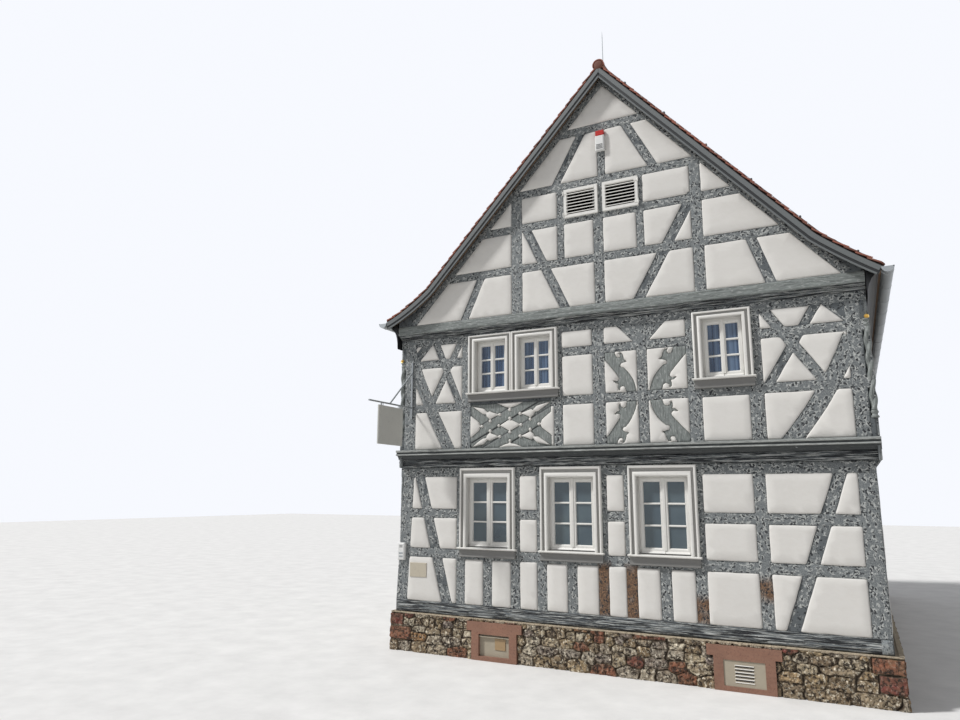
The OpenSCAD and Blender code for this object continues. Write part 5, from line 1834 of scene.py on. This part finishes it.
class HOUSE_OT_shutters(bpy.types.Operator):
    """Make the two louvred shutters of the gable with their hinges."""

    bl_idname = "house.shutters"
    bl_label = "Louvred shutters"

    def execute(self, context):
        build = Builder()
        wall = GABLE[FRONT]
        for box, side in zip(solid_boxes("louvred_shutters"), (-1, 1)):
            u0, v0, back, u1, v1, face = wall.extent(box)
            inner = (u0 + 0.050, v0 + 0.055, u1 - 0.050, v1 - 0.050)
            moulding_ring(build, wall, (u0, v0, u1, v1), inner,
                          ((0.0, back), (0.0, face - 0.004), (0.08, face), (0.86, face),
                           (1.0, face - 0.010), (1.0, back)))
            blades = 7
            for i in range(blades):
                v = inner[1] + (i + 0.5) * (inner[3] - inner[1]) / blades
                bar(build, wall, inner[0] - 0.006, inner[2] + 0.006,
                    ((face + 0.004, v - 0.020), (face + 0.008, v - 0.016),
                     (face + 0.006, v - 0.011), (back + 0.012, v + 0.010),
                     (back + 0.006, v + 0.010), (back + 0.006, v + 0.002)))
            hinge_u = u0 - 0.006 if side < 0 else u1 + 0.006
            for share in (0.12, 0.86):
                v = v0 + (v1 - v0) * share
                pin(build, wall, hinge_u, v, face + 0.006, 0.03, 0.009)
                block(build, wall, *sorted((hinge_u, hinge_u - side * 0.06)), v - 0.014,
                      v + 0.014, face - 0.002, face + 0.006, 0.002)
        build.make("shutters", "white_oil_paint", "white_paint", "louvred_shutters")
        return {"FINISHED"}


# Yard door and floors

class HOUSE_OT_door(bpy.types.Operator):
    """Make the boarded yard door with its frame, panels and handle."""

    bl_idname = "house.door"
    bl_label = "Yard door"

    def execute(self, context):
        build = Builder()
        wall = GROUND[LEFT]
        u0, u1, v0, v1 = door_hole()
        a, b = u0 + 0.055, u1 - 0.055
        moulding_ring(build, wall, (u0 - 0.004, v0 - 0.004, u1 + 0.004, v1 + 0.004),
                      (a, v0 + 0.030, b, v1 - 0.055),
                      ((0.0, -0.16), (0.0, -0.020), (0.1, -0.014), (0.9, -0.014),
                       (1.0, -0.020), (1.0, -0.16)), 1)
        foot, head = v0 + 0.032, v1 - 0.057
        block(build, wall, a, b, foot, head, -0.100, -0.062, 0.001)
        boards = 7
        for i in range(boards):
            left = a + (b - a) * i / boards
            block(build, wall, left + 0.0015, left + (b - a) / boards - 0.0015,
                  foot, head, -0.064, -0.045, 0.005, 0, 0.3 + 0.06 * i)
        for v in (foot + 0.02, (foot + head) / 2 - 0.06, head - 0.16):
            block(build, wall, a + 0.004, b - 0.004, v, v + 0.13, -0.046, -0.026, 0.006, 0, 0.6)
        u, v = b - 0.065, (foot + head) / 2 + 0.05
        block(build, wall, u - 0.020, u + 0.020, v - 0.15, v + 0.07, -0.028, -0.020, 0.003, 2)
        tube(build, [wall.at(u, v, h) for h in (-0.024, 0.022)], 0.009, 10, 2)
        tube(build, [wall.at(u - d, v - d * 0.05, 0.022) for d in (0.0, 0.03, 0.08, 0.12)],
             0.008, 10, 2)
        for v in (foot + 0.22, head - 0.24):
            block(build, wall, a - 0.02, a + 0.42, v, v + 0.035, -0.028, -0.019, 0.003, 2)
            pin(build, wall, a - 0.012, v + 0.0175, -0.016, 0.0375, 0.011, 10, 2)
        build.make("door", "door_paint hewn_timber_plain weathered_zinc", "grey_boards",
                   "yard_door")
        for node in ("ground_floor", "upper_floor", "attic_floor"):
            paint_node(node, "floor_boards")
        return {"FINISHED"}


# Moulded beams

def along_wall(build, wall, u0, u1, profile, step, mat=0, wave=0.0, seed=0.0):
    """A beam along a wall from a closed profile of (h, v, roughness) or (h, v, roughness,
    tint), with furrows that run along it as deep as the roughness."""
    columns = max(2, round((u1 - u0) / step) + 1)
    run = [0.0]
    for a, b in zip(profile, profile[1:]):
        run.append(run[-1] + math.dist(a[:2], b[:2]))
    rings = []
    uvs = []
    tints = []
    for c in range(columns):
        u = u0 + (u1 - u0) * c / (columns - 1)
        lift = wave * (ripple(u, 0, 1.3, seed) + 0.6 * ripple(u, 0, 0.5, seed + 5))
        ring = []
        for (h, v, rough, *lit_and_shaded_tone), s in zip(profile, run):
            furrow = noise.noise(Vector((u * 1.7 + seed, s * 34, seed)))
            fine = noise.noise(Vector((u * 6.0 + seed, s * 80, seed + 9)))
            raised = lift if rough > 0 else 0.0
            ring.append(wall.at(u, v + raised * 0.6, h + rough * (furrow + 0.5 * fine) + raised))
            uvs.append((s + seed, u))
            tints += lit_and_shaded_tone or [0.5]
        rings.append(ring)
    loft(build, rings, uvs, mat, tints)


def divided(points, step):
    """Profile points of (h, v, roughness) with more points between distant ones."""
    fine = []
    for a, b in zip(points, points[1:]):
        n = max(1, round(math.dist(a[:2], b[:2]) / step))
        fine += [tuple(p + (q - p) * i / n for p, q in zip(a, b)) for i in range(n)]
    return fine + [points[-1]]


def sill_beam():
    build = Builder()
    wall = GROUND[FRONT]
    low, high = PLINTH_TOP, GROUND_SILL
    sill = divided(shifted(((0.0, 0.012, 0.0), (0.006, 0.004, 0.004), (0.020, 0.016, 0.008),
                            (0.024, 0.060, 0.011)), 0.0, low)
                   + shifted(((0.018, -0.050, 0.011), (0.014, -0.012, 0.007),
                              (0.004, 0.004, 0.002), (-0.03, 0.004, 0.0)), 0.0, high), 0.009)
    sill.append((-0.03, low + 0.012, 0.0))
    along_wall(build, wall, -0.030, wall.length - 0.075, sill, 0.020, 0, 0.005, 2.0)
    block(build, wall, wall.length - 0.12, wall.length - 0.004, low + 0.01, high - 0.01,
          -0.02, 0.034, 0.006, 1, 0.9)
    build.make("sill_beam", "weathered_beam hewn_timber", "timber", angle=50)


def jetty():
    build = Builder()
    wall = GROUND[FRONT]
    u0, z0, _, u1, z1, _ = wall.extent(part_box("jetty_beam"))
    rope = divided(shifted(((0.02, 0.002, 0.0), (0.058, 0.004, 0.004), (0.074, 0.022, 0.010),
                            (0.080, 0.050, 0.012), (0.068, 0.066, 0.008),
                            (0.082, 0.084, 0.012)), 0.0, z0)
                   + shifted(((0.076, -0.168, 0.010), (0.060, -0.150, 0.003),
                              (0.02, -0.150, 0.0)), 0.0, z1), 0.009)
    along_wall(build, wall, u0 + 0.004, u1 - 0.004, rope, 0.020, 0, 0.004, 7.0)
    # Painted shade and highlight: the cove and the hollow between the fillets get low tints,
    # which paint them dark, and the fillets high tints, which paint them light
    cove = [(0.100 + 0.070 * (1 - math.cos(a)), -0.150 + 0.065 * math.sin(a), 0.0015, 0.06)
            for a in [math.radians(10 * k) for k in range(10)]]
    fillets = divided([(0.180, -0.086, 0.001, 0.75), (0.186, -0.078, 0.002, 0.9),
                       (0.184, -0.066, 0.002, 0.8), (0.164, -0.060, 0.001, 0.06),
                       (0.164, -0.038, 0.001, 0.10), (0.184, -0.032, 0.002, 0.9),
                       (0.190, -0.014, 0.003, 0.8), (0.187, -0.001, 0.002, 0.5),
                       (0.12, 0.002, 0.0, 0.3), (0.03, 0.002, 0.0, 0.3)], 0.010)
    upper = shifted([(0.03, -0.150, 0.0, 0.06)] + cove + fillets, 0.0, z1)
    along_wall(build, wall, u0, u1, upper, 0.030, 1, 0.0015, 11.0)
    build.make("jetty", "weathered_beam carved_timber", "timber", "jetty_beam", angle=50)


def gable_sill():
    build = Builder()
    wall = GABLE[FRONT]
    u0, z0, _, u1, z1, _ = wall.extent(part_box("gable_beam"))
    lower = divided(((-0.16, 0.0, 0.0), (-0.098, 0.0, 0.001), (-0.096, 0.022, 0.003),
                     (-0.072, 0.028, 0.003), (-0.066, 0.040, 0.002),
                     (-0.072, 0.052, 0.002), (-0.050, 0.056, 0.001),
                     (-0.020, 0.064, 0.001), (-0.010, 0.078, 0.001)), 0.010)
    inner = (-0.16, 0.080, 0.0)
    along_wall(build, wall, u0, u1, shifted(lower + [inner], 0.0, z0), 0.024, 0, 0.003, 17.0)
    face = divided(shifted([(0.008, 0.082, 0.002), (0.014, 0.092, 0.006)], 0.0, z0)
                   + shifted([(0.014, -0.020, 0.008), (0.006, -0.002, 0.003),
                              (-0.06, 0.002, 0.0)], 0.0, z1), 0.012)
    along_wall(build, wall, u0, u1, shifted([inner], 0.0, z0) + face
               + [(-0.16, z1 + 0.002, 0.0)], 0.024, 1, 0.003, 18.0)
    build.make("gable_sill", "weathered_beam carved_timber", "timber", "gable_beam",
               angle=50)


class HOUSE_OT_beams(bpy.types.Operator):
    """Carve the sill beam, the jetty beam and the beam under the gable."""

    bl_idname = "house.beams"
    bl_label = "Moulded beams"

    def execute(self, context):
        for make_part in (sill_beam, jetty, gable_sill):
            make_part()
        return {"FINISHED"}


# Carved work

LATTICE_MID = ((LATTICE[0] + LATTICE[1]) / 2, UPPER_SILL + 0.341)
LATTICE_RISE = 90 / 175
LATTICE_BAND = (0.090, 0.273)


def lap_depth(u, v):
    """How far a point of the lattice lies outside its rising bars, measured upright."""
    across = abs((v - LATTICE_MID[1]) - (u - LATTICE_MID[0]) * LATTICE_RISE)
    return max(LATTICE_BAND[0] - across, across - LATTICE_BAND[1])


def lap_groove(u, v):
    """1 on the line where a falling bar meets the rising one that lies over it."""
    return max(0.0, min(1.0, 1.6 - abs(lap_depth(u, v)) / 0.010))


def columns():
    """Twisted shafts between turned ends, with plain gilt bosses over them."""
    build = Builder()
    ends = 0.10
    rows = 90
    for low, high in solid_boxes("corner_columns"):
        foot = ((low.x + high.x) / 2, (low.y + high.y) / 2, low.z)
        radius = (high.x - low.x) / 2
        height = high.z - low.z
        base = [(radius * r, z) for r, z in ((0.7, 0.0), (0.95, 0.004), (0.98, 0.020),
                                             (0.70, 0.034), (0.66, 0.050), (0.86, 0.064),
                                             (0.90, 0.078), (0.72, 0.092), (0.70, 0.10))]
        turned(build, foot, base, 24)
        shaft = [(radius * 0.98, ends + (height - 2 * ends) * i / rows)
                 for i in range(rows + 1)]
        turned(build, foot, shaft, 28, 2, math.pi / 0.235, 0.42)
        turned(build, foot, [(r, height - z) for r, z in reversed(base)], 24)
        side = -1 if foot[0] < 0 else 1
        rosette(build, Vector((foot[0] + side * radius * 0.3, foot[1] - radius * 0.75,
                               high.z + 0.02)), 0.030)
    build.make("twisted_columns", "carved_timber gilding", "timber", "corner_columns",
               angle=40)


class HOUSE_OT_carving(bpy.types.Operator):
    """Carve the lattice, the leaf braces and the twisted columns."""

    bl_idname = "house.carving"
    bl_label = "Carved work"

    def execute(self, context):
        build = Builder()
        wall = UPPER[FRONT]
        outlines = flat_outlines("carved_braces", wall, -0.01, 0.01)
        for i, loop in enumerate(outlines):
            if loop_area(loop) < 0:
                continue
            holes = [one for one in outlines
                     if loop_area(one) < 0 and inside_loops(np.array(one[:1], float), [loop])[0]]
            seed = 3.1 + i * 1.9
            lattice = loop_box(loop)[0] < LATTICE[1]

            def height(d, u, v, seed=seed, lattice=lattice):
                edge = min(d / 0.012, 1.0)
                swell = ripple(u, v, 0.10, seed) + 0.6 * ripple(u, v, 0.035, seed)
                under = lattice and lap_depth(u, v) > 0
                return (0.003 - 0.014 * (1 - edge) ** 2 + 0.0022 * swell * edge
                        - 0.008 * under - 0.004 * lattice * lap_groove(u, v))

            # On the lattice the stain marks where the bars lap, and the finish paints that groove
            # dark as shade
            relief(build, wall, [resampled(one, 0.022) for one in [loop] + holes], height,
                   [0.006, 0.014], 0.011 if lattice else 0.024, -TIMBER_T, seed,
                   lap_groove if lattice else None)
        build.make("carved_work", "carved_timber", "timber", "carved_braces", angle=40)
        columns()
        return {"FINISHED"}


def rosette(build, centre, radius):
    """A plain domed boss with eight petals that faces the street."""
    rings = []
    for r, out in ((1.0, 0.012), (0.98, 0.0), (0.72, -0.010), (0.45, -0.006), (0.40, -0.012),
                   (0.18, -0.020)):
        reach = [(a, r * radius * (1 + 0.10 * math.cos(8 * a) * (r > 0.5))) for a in circle(32)]
        rings.append([centre + Vector((d * math.cos(a), out, d * math.sin(a)))
                      for a, d in reach])
    loft(build, rings, None, 1)


# Fittings on the front and the ridge

def slots(build, wall, across, v, count, pitch, height, depths, bevel, mat):
    """Like level bars over each other on the face of a fitting."""
    for low in [v + i * pitch for i in range(count)]:
        block(build, wall, *across, low, low + height, *depths, bevel, mat)


def sign():
    """A bare board that hangs from two straps on a tube bracket."""
    paint_node("sign_bracket", "weathered_zinc")
    build = Builder()
    low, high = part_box("sign_board")
    wall = four_walls(low.x, low.y, high.x, high.y)[LEFT]
    thick = high.x - low.x
    bevel = 0.006
    stepped(build, wall, (0.0, low.z, high.y - low.y, high.z),
            ((bevel, -thick), (0.0, -thick + bevel), (0.0, -bevel), (bevel, 0.0)))
    x = (low.x + high.x) / 2
    for share in (0.14, 0.86):
        y = low.y + (high.y - low.y) * share
        tube(build, [(x + 0.022 * math.sin(a), y, high.z + 0.014 + 0.026 * math.cos(a))
                     for a in circle(20) + [2 * math.pi]], 0.005, 8, 1)
    build.make("sign", "sign_board_paint weathered_zinc", "sign_paint", "sign_board")


def siren():
    build = Builder()
    wall = GABLE[FRONT]
    u0, v0, h0, u1, v1, h1 = wall.extent(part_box("wall_siren"))
    split = v1 - 0.085
    block(build, wall, u0, u1, v0, split, h0, h1, 0.014)
    block(build, wall, u0 + 0.006, u1 - 0.006, split, v1, h0, h1 - 0.006, 0.012, 1)
    slots(build, wall, (u0 + 0.020, u1 - 0.020), v0 + 0.024, 4, 0.021, 0.011,
          (h1 - 0.002, h1 + 0.002), 0.001, 2)
    slots(build, wall, (u0 + 0.010, u1 - 0.010), split + 0.012, 4, 0.017, 0.006,
          (h1 - 0.008, h1 - 0.003), 0.001, 1)
    build.make("siren", "white_plastic red_lens dark_plastic", "white_plastic",
               "wall_siren")


def bell_box():
    build = Builder()
    wall = GROUND[FRONT]
    u0, v0, _, u1, v1, h1 = wall.extent(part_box("bell_box"))
    block(build, wall, u0, u1, v0, v1, -0.02, h1 - 0.004, 0.010)
    block(build, wall, u0 + 0.012, u1 - 0.012, v0 + 0.012, v1 - 0.012, h1 - 0.006, h1)
    slots(build, wall, (u0 + 0.03, u1 - 0.03), v0 + 0.045, 2, 0.05, 0.028,
          (h1 - 0.002, h1 + 0.003), 0.002, 2)
    slots(build, wall, (u0 + 0.035, u1 - 0.035), v1 - 0.075, 5, 0.009, 0.004,
          (h1 - 0.001, h1 + 0.001), 0.0005, 1)
    build.make("bell_plate", "white_plastic dark_plastic weathered_zinc", "white_plastic",
               "bell_box")


def plaque():
    build = Builder()
    wall = GROUND[FRONT]
    block(build, wall, 0.215, 0.525, 1.12, 1.34, 0.004, 0.030, 0.004)
    for u in (0.235, 0.505):
        for v in (1.14, 1.32):
            tube(build, [wall.at(u, v, h) for h in (0.028, 0.034)], 0.006, 10)
    build.make("plaque", "beige_plate", "sign_paint")


def lightning_rod():
    """The rod with its pointed tip, and the conductor on holders over the verge."""
    build = Builder()
    low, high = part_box("lightning_rod")
    x, y = (low.x + high.x) / 2, (low.y + high.y) / 2
    height = high.z - low.z
    turned(build, (x, y, low.z), ((0.0085, 0.0), (0.0085, 0.10), (0.0075, 0.12),
                                  (0.0060, height - 0.10), (0.0010, height)), 12)
    slope = Slope(1)
    wire_y = VERGE_FRONT + 0.10
    wire = [slope.at(slope.length * (1 - i / 30), 0.014, wire_y) for i in range(1, 30)]
    tube(build, [(x, y, low.z + 0.03), (x + 0.01, wire_y, low.z + 0.01),
                 (RIDGE[0] + 0.05, wire_y, low.z - 0.02), *wire], 0.004, 6)
    spacing = 0.85
    for i in range(int((slope.length - 0.6) / spacing) + 1):
        foot, head = (slope.at(0.35 + i * spacing, h, wire_y) for h in (-0.010, 0.018))
        tube(build, [foot, head], 0.006, 6, 1)
        tube(build, [head + Vector((0, d, 0)) for d in (-0.016, 0.016)], 0.014, 8, 1)
    build.make("lightning_conductor", "weathered_zinc dark_plastic", "zinc",
               "lightning_rod")


class HOUSE_OT_fittings(bpy.types.Operator):
    """Make the sign, the siren, the bell box, the plaque and the lightning rod."""

    bl_idname = "house.fittings"
    bl_label = "Fittings"

    def execute(self, context):
        for make_part in (sign, siren, bell_box, plaque, lightning_rod):
            make_part()
        return {"FINISHED"}


# Stage, lights and camera

CAMERA_AT = (3.213, -10.0, 2.41)
CAMERA_YAW = 27.5238
CAMERA_PITCH = 10.7382
CAMERA_ROLL = -0.2009
CAMERA_LENS = 26.625


def make_camera():
    """The camera stands right of the house and looks up and to the left."""
    yaw, pitch, roll = (math.radians(v) for v in (CAMERA_YAW, CAMERA_PITCH, CAMERA_ROLL))
    look = Vector((-math.sin(yaw) * math.cos(pitch), math.cos(yaw) * math.cos(pitch),
                   math.sin(pitch)))
    right = Vector((math.cos(yaw), math.sin(yaw), 0))
    down = look.cross(right)
    across = right * math.cos(roll) + down * math.sin(roll)
    upward = right * math.sin(roll) - down * math.cos(roll)
    data = bpy.data.cameras.new("camera")
    data.lens = CAMERA_LENS
    data.sensor_width = 36.0
    data.clip_end = 200.0
    camera = bpy.data.objects.new("camera", data)
    turn = Matrix((across, upward, -look)).transposed().to_4x4()
    camera.matrix_world = Matrix.Translation(CAMERA_AT) @ turn
    bpy.context.scene.collection.objects.link(camera)
    bpy.context.scene.camera = camera


def make_lights():
    """A large soft key from the upper left, and an even pale surround."""
    data = bpy.data.lights.new("key", "SUN")
    data.energy = 3.15
    data.angle = math.radians(7)
    key = bpy.data.objects.new("key", data)
    key.matrix_world = Vector((0.58, 0.37, -0.73)).to_track_quat("-Z", "Y").to_matrix().to_4x4()
    bpy.context.scene.collection.objects.link(key)
    world = bpy.data.worlds.new("surround")
    world.use_nodes = True
    tree = world.node_tree
    background = tree.nodes["Background"]
    camera, glossy, through = (add_node(tree, "LightPath").outputs[f"Is {kind} Ray"]
                               for kind in ("Camera", "Glossy", "Transmission"))
    seen = maths(tree, "MAXIMUM", camera, maths(tree, "MAXIMUM", glossy, through))
    strength = maths(tree, "ADD", maths(tree, "MULTIPLY", seen, 0.60), 0.40)
    put(tree, background.inputs["Strength"], strength)
    put(tree, background.inputs["Color"], (0.93, 0.95, 1.0))
    bpy.context.scene.world = world


class HOUSE_OT_stage(bpy.types.Operator):
    """Set up the pale floor, the soft light and the camera."""

    bl_idname = "house.stage"
    bl_label = "Stage"

    def execute(self, context):
        context.scene.view_settings.view_transform = "Standard"
        mesh = bpy.data.meshes.new("floor")
        half = 60.0
        mesh.from_pydata([(-half, -half, 0), (half, -half, 0), (half, half, 0), (-half, half, 0)],
                         [], [(0, 1, 2, 3)])
        floor = bpy.data.objects.new("floor", mesh)
        context.scene.collection.objects.link(floor)
        floor.location.z = -0.002
        mesh.materials.append(material_of("pale_floor"))
        make_camera()
        make_lights()
        return {"FINISHED"}


OPERATORS = [
    HOUSE_OT_stage,
    HOUSE_OT_plinth,
    HOUSE_OT_cellar_lights,
    HOUSE_OT_plaster,
    HOUSE_OT_timbers,
    HOUSE_OT_beams,
    HOUSE_OT_carving,
    HOUSE_OT_windows,
    HOUSE_OT_shutters,
    HOUSE_OT_door,
    HOUSE_OT_roof,
    HOUSE_OT_eaves,
    HOUSE_OT_fittings,
]


class HOUSE_PT_parts(bpy.types.Panel):
    """Lists the parts of the house."""

    bl_label = "House"
    bl_idname = "HOUSE_PT_parts"
    bl_space_type = "VIEW_3D"
    bl_region_type = "UI"
    bl_category = "House"

    def draw(self, context):
        for operator in OPERATORS:
            self.layout.operator(operator.bl_idname)


CLASSES = [HouseSizes, HouseColours, *OPERATORS, HOUSE_PT_parts]


def register():
    for cls in CLASSES:
        bpy.utils.register_class(cls)
    bpy.types.Scene.house_sizes = PointerProperty(type=HouseSizes)
    bpy.types.Scene.house_colours = PointerProperty(type=HouseColours)


def unregister():
    del bpy.types.Scene.house_colours
    del bpy.types.Scene.house_sizes
    for cls in reversed(CLASSES):
        bpy.utils.unregister_class(cls)


def main():
    register()
    for operator in OPERATORS:
        group, _, call = operator.bl_idname.partition(".")
        getattr(getattr(bpy.ops, group), call)()


if __name__ == "__main__":
    main()
